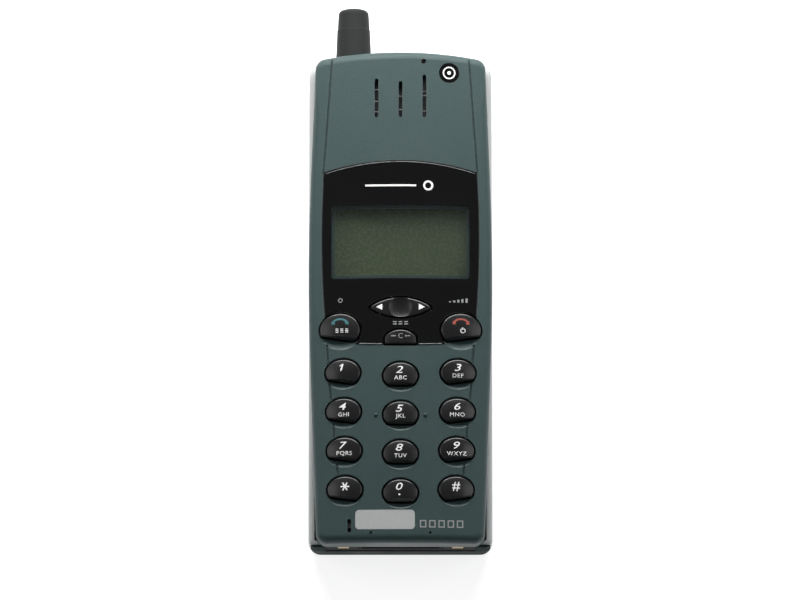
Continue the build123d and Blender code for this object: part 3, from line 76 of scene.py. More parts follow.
# %% [markdown]
# ## Small tools for materials
#
# A Principled shader with its constants set on its own sockets is the base of every finish here.
# Short helpers keep the node code readable: they add a node, make a material, or make and
# place a node group.
# The alternative is to click the nodes together in the editor, which can't be rerun or read.

# %% Helpers that build shader nodes


def add_node(tree, kind, **settings):
    """Add a shader node. Settings with a capital name an input, the others an attribute."""
    node = tree.nodes.new("ShaderNode" + kind)
    for name, value in settings.items():
        if name[0].isupper():
            node.inputs[name.replace("_", " ")].default_value = value
        else:
            setattr(node, name, value)
    return node


def new_material(name, **constants):
    """A material with an empty Principled shader whose constants are set on its sockets."""
    material = bpy.data.materials.new(name)
    material.use_nodes = True
    shader = material.node_tree.nodes["Principled BSDF"]
    for socket, value in constants.items():
        shader.inputs[socket.replace("_", " ")].default_value = value
    return material, material.node_tree, shader


def object_coordinates(tree):
    """Where the surface point lies on the phone, in metres."""
    return add_node(tree, "TexCoord").outputs["Object"]


def new_group(name, inputs, outputs):
    """A shader node group with named float, colour or vector sockets."""
    group = bpy.data.node_groups.new(name, "ShaderNodeTree")
    kinds = {"value": "NodeSocketFloat", "colour": "NodeSocketColor", "vector": "NodeSocketVector"}
    for direction, sockets in (("INPUT", inputs), ("OUTPUT", outputs)):
        for socket, kind in sockets.items():
            group.interface.new_socket(name=socket, in_out=direction, socket_type=kinds[kind])
    return group, group.nodes.new("NodeGroupInput"), group.nodes.new("NodeGroupOutput")


def place_group(tree, group, **values):
    """Put a node group in a material and set its input values."""
    node = tree.nodes.new("ShaderNodeGroup")
    node.node_tree = group
    for name, value in values.items():
        node.inputs[name.replace("_", " ")].default_value = value
    return node


# %% [markdown]
# ## Effects that several finishes share
#
# Moulded and painted plastic is never perfectly even. Three effects repeat on this phone: the fine
# pebble of textured paint, slow patches where hands have polished it, and rubbed edges.
# Each is a node group that gives out only masks and heights, so one recipe serves many materials.

# %% Pebble: the fine texture of paint or moulded plastic

pebble, pebble_in, pebble_out = new_group(
    "pebble", {"Scale": "value", "Roughen": "value"}, {"Height": "value", "Tone": "value"}
)
pebble_place = pebble.nodes.new("ShaderNodeTexCoord")
pebble_grain = add_node(pebble, "TexNoise", Detail=3.0, Roughness=0.62)
pebble_cells = add_node(pebble, "TexVoronoi", feature="F1", Randomness=1.0)
pebble_mix = add_node(pebble, "Math", operation="MULTIPLY_ADD")
pebble.links.new(pebble_place.outputs["Object"], pebble_grain.inputs["Vector"])
pebble.links.new(pebble_place.outputs["Object"], pebble_cells.inputs["Vector"])
pebble.links.new(pebble_in.outputs["Scale"], pebble_grain.inputs["Scale"])
pebble.links.new(pebble_in.outputs["Scale"], pebble_cells.inputs["Scale"])
pebble.links.new(pebble_cells.outputs["Distance"], pebble_mix.inputs[0])
pebble.links.new(pebble_in.outputs["Roughen"], pebble_mix.inputs[1])
pebble.links.new(pebble_grain.outputs["Fac"], pebble_mix.inputs[2])
pebble.links.new(pebble_mix.outputs["Value"], pebble_out.inputs["Height"])
pebble.links.new(pebble_grain.outputs["Fac"], pebble_out.inputs["Tone"])

# %% Handling: slow patches and thin scratches

handling, handling_in, handling_out = new_group(
    "handling", {"Patch Scale": "value", "Scratch Scale": "value"}, {"Patch": "value", "Scratch": "value"}
)
handling_place = handling.nodes.new("ShaderNodeTexCoord")
handling_patch = add_node(handling, "TexNoise", Detail=4.0, Roughness=0.55)
handling_ramp = add_node(handling, "MapRange", From_Min=0.35, From_Max=0.7)
scratch_stretch = add_node(handling, "Mapping", Rotation=(0.0, 0.0, 0.5), Scale=(1.0, 14.0, 1.0))
scratch_noise = add_node(handling, "TexNoise", Detail=2.0, Roughness=0.4)
scratch_line = add_node(handling, "MapRange", From_Min=0.66, From_Max=0.72)
handling.links.new(handling_place.outputs["Object"], handling_patch.inputs["Vector"])
handling.links.new(handling_in.outputs["Patch Scale"], handling_patch.inputs["Scale"])
handling.links.new(handling_patch.outputs["Fac"], handling_ramp.inputs["Value"])
handling.links.new(handling_ramp.outputs["Result"], handling_out.inputs["Patch"])
handling.links.new(handling_place.outputs["Object"], scratch_stretch.inputs["Vector"])
handling.links.new(scratch_stretch.outputs["Vector"], scratch_noise.inputs["Vector"])
handling.links.new(handling_in.outputs["Scratch Scale"], scratch_noise.inputs["Scale"])
handling.links.new(scratch_noise.outputs["Fac"], scratch_line.inputs["Value"])
handling.links.new(scratch_line.outputs["Result"], handling_out.inputs["Scratch"])

# %% Rubbed edges: where the normal of a rounded edge leaves the true one

rubbed, rubbed_in, rubbed_out = new_group(
    "rubbed edges", {"Radius": "value", "Break Up": "value"}, {"Mask": "value"}
)
rubbed_round = add_node(rubbed, "Bevel", samples=4)
rubbed_true = add_node(rubbed, "NewGeometry")
rubbed_dot = add_node(rubbed, "VectorMath", operation="DOT_PRODUCT")
rubbed_edge = add_node(rubbed, "MapRange", From_Min=0.995, From_Max=0.93)
rubbed_place = rubbed.nodes.new("ShaderNodeTexCoord")
rubbed_noise = add_node(rubbed, "TexNoise", Detail=4.0, Roughness=0.6)
rubbed_gate = add_node(rubbed, "MapRange", From_Min=0.46, From_Max=0.62)
rubbed_mask = add_node(rubbed, "Math", operation="MULTIPLY")
rubbed.links.new(rubbed_in.outputs["Radius"], rubbed_round.inputs["Radius"])
rubbed.links.new(rubbed_round.outputs["Normal"], rubbed_dot.inputs[0])
rubbed.links.new(rubbed_true.outputs["Normal"], rubbed_dot.inputs[1])
rubbed.links.new(rubbed_dot.outputs["Value"], rubbed_edge.inputs["Value"])
rubbed.links.new(rubbed_place.outputs["Object"], rubbed_noise.inputs["Vector"])
rubbed.links.new(rubbed_in.outputs["Break Up"], rubbed_noise.inputs["Scale"])
rubbed.links.new(rubbed_noise.outputs["Fac"], rubbed_gate.inputs["Value"])
rubbed.links.new(rubbed_edge.outputs["Result"], rubbed_mask.inputs[0])
rubbed.links.new(rubbed_gate.outputs["Result"], rubbed_mask.inputs[1])
rubbed.links.new(rubbed_mask.outputs["Value"], rubbed_out.inputs["Mask"])
print("effects:", [group.name for group in bpy.data.node_groups])

# %% [markdown]
# ## Moulded, painted and rubber finishes
#
# Most pieces are plastic, and differ in colour, gloss, texture and wear. One recipe makes them all:
# the pebble gives tone and bump, handling varies the roughness, and rubbed edges show a second colour.
# Only those varying values are linked. The constants stay on the shader's own sockets.

# %% One recipe for plastic, paint and rubber


def mix_colour(tree, factor, low, high):
    """Blend two colours by a value that varies over the surface."""
    mix = add_node(tree, "Mix", data_type="RGBA")
    mix.inputs["A"].default_value = (*low, 1.0)
    mix.inputs["B"].default_value = (*high, 1.0)
    tree.links.new(factor, mix.inputs["Factor"])
    return mix


def moulded(name, colour, second, gloss, texture, wear, **constants):
    """Plastic, paint or rubber.

    gloss is its lowest and highest roughness. texture is the pebble's scale, how much its cells
    show, and its height in metres. wear is the colour of a rubbed edge and how strongly it shows.
    """
    material, tree, shader = new_material(name, **constants)
    grain = place_group(tree, pebble, Scale=texture[0], Roughen=texture[1])
    touch = place_group(tree, handling, Patch_Scale=70.0, Scratch_Scale=60.0)
    edges = place_group(tree, rubbed, Radius=0.0004, Break_Up=900.0)
    tone = mix_colour(tree, grain.outputs["Tone"], colour, second)
    worn = add_node(tree, "Math", operation="MULTIPLY")
    worn.inputs[1].default_value = wear[1]
    tree.links.new(edges.outputs["Mask"], worn.inputs[0])
    show = add_node(tree, "Mix", data_type="RGBA")
    show.inputs["B"].default_value = (*wear[0], 1.0)
    tree.links.new(worn.outputs["Value"], show.inputs["Factor"])
    tree.links.new(tone.outputs["Result"], show.inputs["A"])
    tree.links.new(show.outputs["Result"], shader.inputs["Base Color"])
    sheen = add_node(tree, "MapRange", To_Min=gloss[0], To_Max=gloss[1])
    tree.links.new(touch.outputs["Patch"], sheen.inputs["Value"])
    tree.links.new(sheen.outputs["Result"], shader.inputs["Roughness"])
    bump = add_node(tree, "Bump", Strength=1.0, Distance=texture[2])
    tree.links.new(grain.outputs["Height"], bump.inputs["Height"])
    tree.links.new(bump.outputs["Normal"], shader.inputs["Normal"])
    return material


finishes = {}

# %% The cover's green-grey paint, the silver frame and the dark battery

finishes["cover_paint"] = moulded(
    "green-grey cover paint", (0.030, 0.053, 0.052), (0.043, 0.074, 0.073),
    gloss=(0.40, 0.52), texture=(5200.0, 0.5, 0.00006), wear=((0.11, 0.14, 0.135), 0.5),
    Specular_IOR_Level=0.28,
)
finishes["silver_paint"] = moulded(
    "silver frame paint", (0.42, 0.43, 0.43), (0.52, 0.53, 0.53),
    gloss=(0.36, 0.48), texture=(9000.0, 0.6, 0.00002), wear=((0.14, 0.14, 0.14), 0.3),
    Metallic=0.15, Specular_IOR_Level=0.5,
)


# The frame's bottom end is painted dark green without reflection: partly its own plastic, partly painted
# shade.
DARK_END_REACH = 0.6 * MM         # the dark end, partly painted shade, reaches this far from the bottom end
DARK_END_FADE = 0.1 * MM        # the length over which its edge fades
PAINT_SPECULAR = 0.5
END_GREEN_AND_SHADE = (0.012, 0.024, 0.023)


def dark_end_and_shade(material, edge_y):
    """Darken the end of the frame and take away its reflection: partly the dark plastic of the phone's end,
    partly painted shade on the end face, which lies in shade.
    """
    tree = material.node_tree
    shader = tree.nodes["Principled BSDF"]
    paint = shader.inputs["Base Color"].links[0].from_socket
    place = add_node(tree, "SeparateXYZ")
    tree.links.new(object_coordinates(tree), place.inputs["Vector"])
    end_and_shade = add_node(tree, "MapRange", From_Min=edge_y + DARK_END_FADE, From_Max=edge_y)
    tree.links.new(place.outputs["Y"], end_and_shade.inputs["Value"])
    show = mix_colour(tree, end_and_shade.outputs["Result"], (0, 0, 0), END_GREEN_AND_SHADE)
    tree.links.new(paint, show.inputs["A"])
    tree.links.new(show.outputs["Result"], shader.inputs["Base Color"])
    # Painted shade: the reflection fades out on the dark end as well.
    shine = add_node(tree, "MapRange", To_Min=PAINT_SPECULAR, To_Max=0.0)
    tree.links.new(end_and_shade.outputs["Result"], shine.inputs["Value"])
    tree.links.new(shine.outputs["Result"], shader.inputs["Specular IOR Level"])


# The frame's bottom end gets its dark colour and its painted shade.
dark_end_and_shade(finishes["silver_paint"], cad_box[0][1] + DARK_END_REACH)
finishes["battery_plastic"] = moulded(
    "dark green battery plastic", (0.010, 0.020, 0.019), (0.018, 0.032, 0.030),
    gloss=(0.42, 0.58), texture=(3200.0, 0.7, 0.00007), wear=((0.03, 0.045, 0.042), 0.3),
    Specular_IOR_Level=0.02,
)

# %% Black plastics, rubbers and the keys

finishes["black_plastic"] = moulded(
    "black moulded plastic", (0.010, 0.010, 0.011), (0.022, 0.022, 0.023),
    gloss=(0.45, 0.60), texture=(3600.0, 0.7, 0.00006), wear=((0.04, 0.04, 0.04), 0.3),
    Specular_IOR_Level=0.02,
)
finishes["window_black"] = moulded(
    "polished black window", (0.002, 0.002, 0.0022), (0.0035, 0.0035, 0.0037),
    gloss=(0.10, 0.17), texture=(1500.0, 0.2, 0.000002), wear=((0.05, 0.05, 0.05), 0.3),
    Specular_IOR_Level=0.5, Coat_Weight=0.1, Coat_Roughness=0.05,
)
finishes["key_black"] = moulded(
    "satin black keys", (0.005, 0.005, 0.0053), (0.008, 0.008, 0.0084),
    gloss=(0.24, 0.34), texture=(4200.0, 0.4, 0.00001), wear=((0.10, 0.10, 0.10), 0.35),
    Specular_IOR_Level=0.6, Coat_Weight=0.15, Coat_Roughness=0.2,
)
finishes["black_rubber"] = moulded(
    "antenna rubber", (0.018, 0.019, 0.019), (0.028, 0.029, 0.029),
    gloss=(0.50, 0.66), texture=(2600.0, 0.6, 0.00004), wear=((0.05, 0.05, 0.05), 0.3),
    Specular_IOR_Level=0.08,
)
finishes["mat_rubber"] = moulded(
    "keypad mat rubber", (0.30, 0.31, 0.31), (0.38, 0.39, 0.39),
    gloss=(0.60, 0.72), texture=(2600.0, 0.6, 0.00003), wear=((0.2, 0.2, 0.2), 0.2),
)
finishes["earpiece_case"] = moulded(
    "earpiece case", (0.02, 0.02, 0.02), (0.035, 0.035, 0.035),
    gloss=(0.40, 0.55), texture=(2600.0, 0.6, 0.00004), wear=((0.08, 0.08, 0.08), 0.3),
)
finishes["label_film"] = moulded(
    "blank label film", (0.38, 0.40, 0.39), (0.46, 0.47, 0.46),
    gloss=(0.30, 0.42), texture=(1200.0, 0.3, 0.00001), wear=((0.45, 0.45, 0.44), 0.4),
)
print("plastic, paint and rubber finishes:", len(finishes))

# %% [markdown]
# ## Metals
#
# The contacts are gold plate over brass, the screws and cans are bright steel. Real metal shows
# fine brushing and small dull spots. So stretched noise varies the roughness and bump of both, and
# patches vary their tone.

# %% Brushed metal recipe


def brushed(name, colour, second, gloss, **constants):
    """Metal with a fine grain along the phone."""
    material, tree, shader = new_material(name, Metallic=1.0, **constants)
    stretch = add_node(tree, "Mapping", Scale=(1.0, 0.06, 1.0))
    lines = add_node(tree, "TexNoise", Scale=9000.0, Detail=2.0)
    spots = place_group(tree, handling, Patch_Scale=300.0, Scratch_Scale=200.0)
    tree.links.new(object_coordinates(tree), stretch.inputs["Vector"])
    tree.links.new(stretch.outputs["Vector"], lines.inputs["Vector"])
    tone = mix_colour(tree, spots.outputs["Patch"], colour, second)
    tree.links.new(tone.outputs["Result"], shader.inputs["Base Color"])
    sheen = add_node(tree, "MapRange", To_Min=gloss[0], To_Max=gloss[1])
    tree.links.new(lines.outputs["Fac"], sheen.inputs["Value"])
    tree.links.new(sheen.outputs["Result"], shader.inputs["Roughness"])
    bump = add_node(tree, "Bump", Strength=0.6, Distance=0.00001)
    tree.links.new(lines.outputs["Fac"], bump.inputs["Height"])
    tree.links.new(bump.outputs["Normal"], shader.inputs["Normal"])
    return material


finishes["gold_contact"] = brushed(
    "gold plated contacts", (0.36, 0.25, 0.10), (0.28, 0.19, 0.07), (0.30, 0.46)
)
finishes["bright_steel"] = brushed("bright steel", (0.60, 0.60, 0.60), (0.48, 0.48, 0.48), (0.22, 0.38))
finishes["cell_case"] = brushed("cell cans", (0.50, 0.51, 0.53), (0.40, 0.41, 0.43), (0.30, 0.45))

# %% [markdown]
# ## Display, window and board
#
# The display is a grey-green liquid crystal cell. It lies deep under a clear lens, so its shade comes
# from the recess and only its own slight mottling is painted. The lens is glass-like plastic with
# almost no colour. A transparent mix would be quicker to render, but real transmission keeps the
# reflection of the sky on the lens, which is what makes it read as a window.

# %% Liquid crystal cell

material, tree, shader = new_material(
    "grey-green display", Specular_IOR_Level=0.35, Coat_Weight=0.3, Coat_Roughness=0.12
)
mottle = add_node(tree, "TexNoise", Scale=1500.0, Detail=2.0, Roughness=0.5)
tree.links.new(object_coordinates(tree), mottle.inputs["Vector"])
glow = mix_colour(tree, mottle.outputs["Fac"], (0.088, 0.120, 0.070), (0.096, 0.130, 0.076))
tree.links.new(glow.outputs["Result"], shader.inputs["Base Color"])
dulled = add_node(tree, "MapRange", To_Min=0.22, To_Max=0.32)
tree.links.new(mottle.outputs["Fac"], dulled.inputs["Value"])
tree.links.new(dulled.outputs["Result"], shader.inputs["Roughness"])
finishes["display_glass"] = material

# %% Clear lens, status lens and light guide

WIPED_TINT = 0.997           # the tint's strength on a wiped patch


def clear_plastic(name, tint, gloss, **constants):
    """Clear or tinted plastic with faint wipe marks in its gloss."""
    material, tree, shader = new_material(name, IOR=1.49, Transmission_Weight=1.0, **constants)
    wipes = place_group(tree, handling, Patch_Scale=120.0, Scratch_Scale=90.0)
    tone = mix_colour(tree, wipes.outputs["Patch"], tint, [WIPED_TINT * value for value in tint])
    tree.links.new(tone.outputs["Result"], shader.inputs["Base Color"])
    sheen = add_node(tree, "MapRange", To_Min=gloss[0], To_Max=gloss[1])
    tree.links.new(wipes.outputs["Scratch"], sheen.inputs["Value"])
    tree.links.new(sheen.outputs["Result"], shader.inputs["Roughness"])
    return material


finishes["window_clear"] = clear_plastic("clear display lens", (0.96, 0.97, 0.95), (0.020, 0.023))
finishes["status_lens"] = clear_plastic("olive status lens", (0.42, 0.36, 0.16), (0.18, 0.30))
finishes["light_guide_acrylic"] = clear_plastic("frosted light guide", (0.88, 0.90, 0.86), (0.35, 0.50))

# %% Board laminate with its faint copper pattern

material, tree, shader = new_material("green board laminate", Coat_Weight=0.3, Coat_Roughness=0.15)
copper = add_node(tree, "TexVoronoi", feature="DISTANCE_TO_EDGE", Scale=420.0, Randomness=0.6)
track = add_node(tree, "MapRange", From_Min=0.03, From_Max=0.07)
tree.links.new(object_coordinates(tree), copper.inputs["Vector"])
tree.links.new(copper.outputs["Distance"], track.inputs["Value"])
mask = mix_colour(tree, track.outputs["Result"], (0.02, 0.12, 0.05), (0.008, 0.06, 0.028))
tree.links.new(mask.outputs["Result"], shader.inputs["Base Color"])
lacquer_and_highlight = add_node(tree, "MapRange", To_Min=0.3, To_Max=0.42)
tree.links.new(track.outputs["Result"], lacquer_and_highlight.inputs["Value"])
tree.links.new(lacquer_and_highlight.outputs["Result"], shader.inputs["Roughness"])
finishes["board_laminate"] = material

# %% Woven cloth behind the earpiece slots

material, tree, shader = new_material("earpiece cloth", Sheen_Weight=0.3, Sheen_Roughness=0.4)
across = add_node(tree, "TexWave", wave_type="BANDS", bands_direction="X", Scale=900.0)
along = add_node(tree, "TexWave", wave_type="BANDS", bands_direction="Y", Scale=900.0)
weave = add_node(tree, "Math", operation="MULTIPLY")
for thread in (across, along):
    tree.links.new(object_coordinates(tree), thread.inputs["Vector"])
tree.links.new(across.outputs["Fac"], weave.inputs[0])
tree.links.new(along.outputs["Fac"], weave.inputs[1])
threads = mix_colour(tree, weave.outputs["Value"], (0.004, 0.004, 0.004), (0.10, 0.11, 0.11))
tree.links.new(threads.outputs["Result"], shader.inputs["Base Color"])
fuzz = add_node(tree, "MapRange", To_Min=0.8, To_Max=0.5)
tree.links.new(weave.outputs["Value"], fuzz.inputs["Value"])
tree.links.new(fuzz.outputs["Result"], shader.inputs["Roughness"])
raised = add_node(tree, "Bump", Strength=1.0, Distance=0.00008)
tree.links.new(weave.outputs["Value"], raised.inputs["Height"])
tree.links.new(raised.outputs["Normal"], shader.inputs["Normal"])
finishes["grille_cloth"] = material

# %% [markdown]
# ## Dress the frame
#
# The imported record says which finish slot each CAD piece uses. The meshes stay as they are, and
# only the material on each piece changes.

# %% Give every CAD piece its finish

for subpart in frame["record"]["subparts"]:
    piece = nodes[subpart["node"]]
    piece.data.materials.clear()
    piece.data.materials.append(finishes[subpart["material_slot"]])
print("finishes in use:", len(finishes))
# %% [markdown]
# ## Printed legends and small mouldings
#
# Numerals, letters and symbols are printed on the keys and the window. Each is a thin mesh that is
# laid on the real surface under it, so it follows the dome of its key. A painted image would be
# simpler, but thin solid print keeps sharp edges at any size and moves with its key.
# The print carries numbers, letters and plain symbols only.

# %% Find the surface of a CAD piece from above, and lay thin shapes on it

RAY_START_Z = 0.05           # well above the phone's face
PRINT_LIFT = 0.02 * MM       # how far print stands clear of the surface under it
STRIP_PITCH = 0.5 * MM       # how finely print is cut so that it can bend
surfaces = {}


def surface_z(node, x, y):
    """Height of a CAD piece's front surface at a place, or None where it has none."""
    if node not in surfaces:
        piece = nodes[node]
        shell = bmesh.new()
        shell.from_mesh(piece.data)
        shell.transform(piece.matrix_world)
        surfaces[node] = BVHTree.FromBMesh(shell)
        shell.free()
    hit, _, _, _ = surfaces[node].ray_cast(Vector((x, y, RAY_START_Z)), Vector((0, 0, -1)))
    return hit.z if hit else None


def finish_piece(name, shape, material, body, smooth=False):
    """Turn a bmesh into a named piece that rides on a body."""
    bmesh.ops.recalc_face_normals(shape, faces=shape.faces)
    mesh = bpy.data.meshes.new(name)
    for face in shape.faces:
        face.smooth = smooth
    shape.to_mesh(mesh)
    shape.free()
    mesh.materials.append(material)
    piece = bpy.data.objects.new(name, mesh)
    bpy.context.scene.collection.objects.link(piece)
    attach(piece, body)


def cut_into_strips(shape, pitch):
    """Cut a flat shape along a square grid, so that it can bend over a curved surface."""
    for axis in (0, 1):
        places = [point.co[axis] for point in shape.verts]
        normal = Vector((1 - axis, axis, 0))
        for step in range(1, int((max(places) - min(places)) / pitch) + 1):
            bmesh.ops.bisect_plane(shape, geom=shape.verts[:] + shape.edges[:] + shape.faces[:], dist=1e-7,
                                   plane_co=normal * (min(places) + step * pitch), plane_no=normal)


def lay_on(shape, node, rest_z):
    """Drop every point of a flat shape onto the surface of a CAD piece."""
    cut_into_strips(shape, STRIP_PITCH)
    for point in shape.verts:
        height = surface_z(node, point.co.x, point.co.y)
        point.co.z += (rest_z if height is None else height) + PRINT_LIFT


# %% Where the phone's places are, measured from the CAD pieces themselves


def centre_of(node):
    """Middle of a CAD piece in X and Y, and its highest Z."""
    low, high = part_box(node)
    return (low[0] + high[0]) / 2, (low[1] + high[1]) / 2, high[2]


bottom_y = cad_box[0][1]
top_z = cad_box[1][2]


def y_at(up_mm):
    """Y of a place this many millimetres above the phone's bottom end."""
    return bottom_y + up_mm * MM


print("bottom end at", round(bottom_y / MM, 2), "mm")
print("key 5 at", [round(value / MM, 2) for value in centre_of("key_5")])

# %% [markdown]
# ## Ink
#
# Most of the print is a slightly uneven white ink. The small signs are pale grey, and the call and
# end symbols are teal and salmon. One recipe makes them all, and the painted highlight on the lower rims
# of the key wells, with a little noise in tone and gloss, as screen printing shows.

# %% Ink materials


def ink_and_highlight(name, colour, second):
    """Screen-printing inks with a slightly uneven cover, also used for the painted highlight on the well
    rims.
    """
    material, tree, shader = new_material(name, Specular_IOR_Level=0.3)
    cover = place_group(tree, pebble, Scale=5200.0, Roughen=0.4)
    tone = mix_colour(tree, cover.outputs["Tone"], second, colour)
    tree.links.new(tone.outputs["Result"], shader.inputs["Base Color"])
    sheen = add_node(tree, "MapRange", To_Min=0.45, To_Max=0.62)
    tree.links.new(cover.outputs["Tone"], sheen.inputs["Value"])
    tree.links.new(sheen.outputs["Result"], shader.inputs["Roughness"])
    return material


white_ink = ink_and_highlight("white print", (0.92, 0.92, 0.90), (0.74, 0.74, 0.72))
grey_ink = ink_and_highlight("pale grey print", (0.34, 0.35, 0.34), (0.24, 0.25, 0.24))
teal_ink = ink_and_highlight("teal print", (0.05, 0.18, 0.20), (0.03, 0.12, 0.14))
salmon_ink = ink_and_highlight("salmon print", (0.36, 0.085, 0.06), (0.24, 0.05, 0.04))

# %% Numerals and dial letters on the keys


def print_text(name, words, size, place, node, body, material=white_ink, lean=0.0, weight=0.0, spread=1.0,
               stretch=1.0):
    """Thin printed text, centred on a place and laid on a CAD piece."""
    curve = bpy.data.curves.new(name, "FONT")
    curve.body = words
    curve.size = size
    curve.shear = lean
    curve.offset = weight
    curve.space_character = spread
    curve.extrude = 0.00001
    curve.resolution_u = 3
    curve.align_x = "CENTER"
    curve.align_y = "CENTER"
    holder = bpy.data.objects.new(name + " curve", curve)
    bpy.context.scene.collection.objects.link(holder)
    bpy.context.view_layer.update()
    flat = bpy.data.meshes.new_from_object(holder.evaluated_get(bpy.context.evaluated_depsgraph_get()))
    bpy.data.objects.remove(holder)
    shape = bmesh.new()
    shape.from_mesh(flat)
    bpy.data.meshes.remove(flat)
    bmesh.ops.scale(shape, vec=(stretch, 1.0, 1.0), verts=shape.verts)
    xs = [point.co.x for point in shape.verts]
    ys = [point.co.y for point in shape.verts]
    shift = Vector((place[0] - (min(xs) + max(xs)) / 2, place[1] - (min(ys) + max(ys)) / 2, 0))
    bmesh.ops.translate(shape, verts=shape.verts, vec=shift)
    lay_on(shape, node, top_z)
    finish_piece(name, shape, material, body)


DIAL = {"2": "ABC", "3": "DEF", "4": "GHI", "5": "JKL", "6": "MNO", "7": "PQRS", "8": "TUV", "9": "WXYZ"}
NUMERAL_SIZE = 2.75 * MM
NUMERAL_STRETCH = 1.4
NUMERAL_LEAN = 0.22
STROKE_WEIGHT = 0.01 * MM
LETTER_SIZE = 1.5 * MM
LETTER_STRETCH = 1.1
LETTER_SPREAD = 1.12
HASH_SIZE = 3.5 * MM
HASH_WEIGHT = 0.02 * MM
SYMBOL_RISE = 0.4 * MM       # the hash and the star, above the middle of the key's box
NUMERAL_RISE = 1.0 * MM      # above the middle of the key's box
NUMERAL_SHIFT = -0.3 * MM    # to the left, except in the right-hand column
LETTER_DROP = 1.2 * MM
for symbol in "1234567890#":
    node = "key_" + {"#": "hash"}.get(symbol, symbol)
    x, y, _ = centre_of(node)
    if symbol == "#":
        print_text("print_" + node, symbol, HASH_SIZE, (x, y + SYMBOL_RISE), node, node + "_body",
                   weight=HASH_WEIGHT)
        continue
    numeral_x = x + (0 if x > 1 * MM else NUMERAL_SHIFT)
    print_text("print_" + node, symbol, NUMERAL_SIZE, (numeral_x, y + NUMERAL_RISE), node, node + "_body",
               lean=NUMERAL_LEAN, weight=STROKE_WEIGHT, stretch=NUMERAL_STRETCH)
    if symbol in DIAL:
        print_text("letters_" + node, DIAL[symbol], LETTER_SIZE, (x, y - LETTER_DROP), node, node + "_body",
                   weight=STROKE_WEIGHT, spread=LETTER_SPREAD, stretch=LETTER_STRETCH)

# %% Plain printed shapes: discs, rings, bars and triangles

PRINT_THICKNESS = 0.02 * MM


def print_shape(name, shape, place, node, body, material=white_ink):
    """Thicken a flat outline in XY, move it to its place and lay it on a CAD piece."""
    grown = bmesh.ops.extrude_face_region(shape, geom=shape.faces[:])
    risen = [item for item in grown["geom"] if isinstance(item, bmesh.types.BMVert)]
    bmesh.ops.translate(shape, verts=risen, vec=(0, 0, PRINT_THICKNESS))
    bmesh.ops.translate(shape, verts=shape.verts, vec=(place[0], place[1], 0))
    lay_on(shape, node, top_z)
    finish_piece(name, shape, material, body)


def disc(radius, sides=24, angle=0.0):
    """A filled round or regular outline."""
    shape = bmesh.new()
    bmesh.ops.create_circle(shape, cap_ends=True, segments=sides, radius=radius,
                            matrix=Matrix.Rotation(angle, 4, "Z"))
    return shape


def bar(width, height, shape=None, at=(0.0, 0.0), turn=0.0):
    """A filled rectangle turned in its plane, added to a shape when one is given."""
    shape = shape or bmesh.new()
    place = (Matrix.Translation((*at, 0)) @ Matrix.Rotation(math.radians(turn), 4, "Z")
             @ Matrix.Diagonal((width / 2, height / 2, 1, 1)))
    bmesh.ops.create_grid(shape, x_segments=2, y_segments=1, size=1, matrix=place)
    return shape


def arc_band(inner, outer, start, sweep, shape=None, steps=24):
    """A band of a ring, turned from a start angle through a sweep, in degrees."""
    shape = shape or bmesh.new()
    direction = Vector((math.cos(math.radians(start)), math.sin(math.radians(start)), 0))
    ends = [shape.verts.new(direction * radius) for radius in (inner, outer)]
    edge = shape.edges.new(ends)
    bmesh.ops.spin(shape, geom=[*ends, edge], cent=(0, 0, 0), axis=(0, 0, 1), angle=math.radians(sweep),
                   steps=steps, use_duplicate=False)
    bmesh.ops.remove_doubles(shape, verts=shape.verts, dist=1e-6)
    return shape


# %% Arrows on the rocker

ARROW_RADIUS = 1.1 * MM
ARROW_FLATTEN = 0.9
ARROW_REACH = 5.4 * MM       # from the middle of the rocker
ARROW_RISE = 0.1 * MM
_, rocker_y, _ = centre_of("rocker_key")
for side in (-1, 1):
    arrow = disc(ARROW_RADIUS, sides=3, angle=math.radians(-90 * side))
    bmesh.ops.scale(arrow, vec=(1.0, ARROW_FLATTEN, 1.0), verts=arrow.verts)
    label = "arrow_right" if side > 0 else "arrow_left"
    print_shape(label, arrow, (side * ARROW_REACH, rocker_y + ARROW_RISE), "rocker_key", "rocker")

# %% The dot under the nought, the flag of the one, the star and the badge

DOT_RADIUS = 0.28 * MM
FLAG_SIZE = (0.95 * MM, 0.32 * MM)
FLAG_TURN = 32
FLAG_LEFT, FLAG_RISE = 0.45 * MM, 1.6 * MM
STAR_ARM = (2.3 * MM, 0.36 * MM)
BADGE_RING = (1.35 * MM, 1.7 * MM)
BADGE_DOT = 0.5 * MM
nought_x, nought_y, _ = centre_of("key_0")
dot_place = (nought_x + NUMERAL_SHIFT, nought_y - LETTER_DROP)
print_shape("dot_under_nought", disc(DOT_RADIUS, 12), dot_place, "key_0", "key_0_body")
one_x, one_y, _ = centre_of("key_1")
flag_place = (one_x - FLAG_LEFT, one_y + FLAG_RISE)
print_shape("flag_on_one", bar(*FLAG_SIZE, turn=FLAG_TURN), flag_place, "key_1", "key_1_body")
star_x, star_y, _ = centre_of("key_star")
star_place = (star_x, star_y + SYMBOL_RISE)
for arm, turn in enumerate((0, 60, 120)):
    print_shape(f"star_arm_{arm}", bar(*STAR_ARM, turn=turn), star_place, "key_star", "key_star_body")
badge_place = centre_of("badge")[:2]
print_shape("badge_ring", arc_band(*BADGE_RING, 0, 360, steps=40), badge_place, "badge", "phone")
print_shape("badge_dot", disc(BADGE_DOT), badge_place, "badge", "phone")

# %% Handset symbols on the call and end keys


def handset_symbol(width):
    """A telephone receiver seen from the side: an arched grip with two ends."""
    shape = arc_band(0.33 * width, 0.47 * width, 28, 124)
    for side in (-1, 1):
        bar(0.17 * width, 0.25 * width, shape, at=(side * 0.37 * width, 0.10 * width))
    return shape


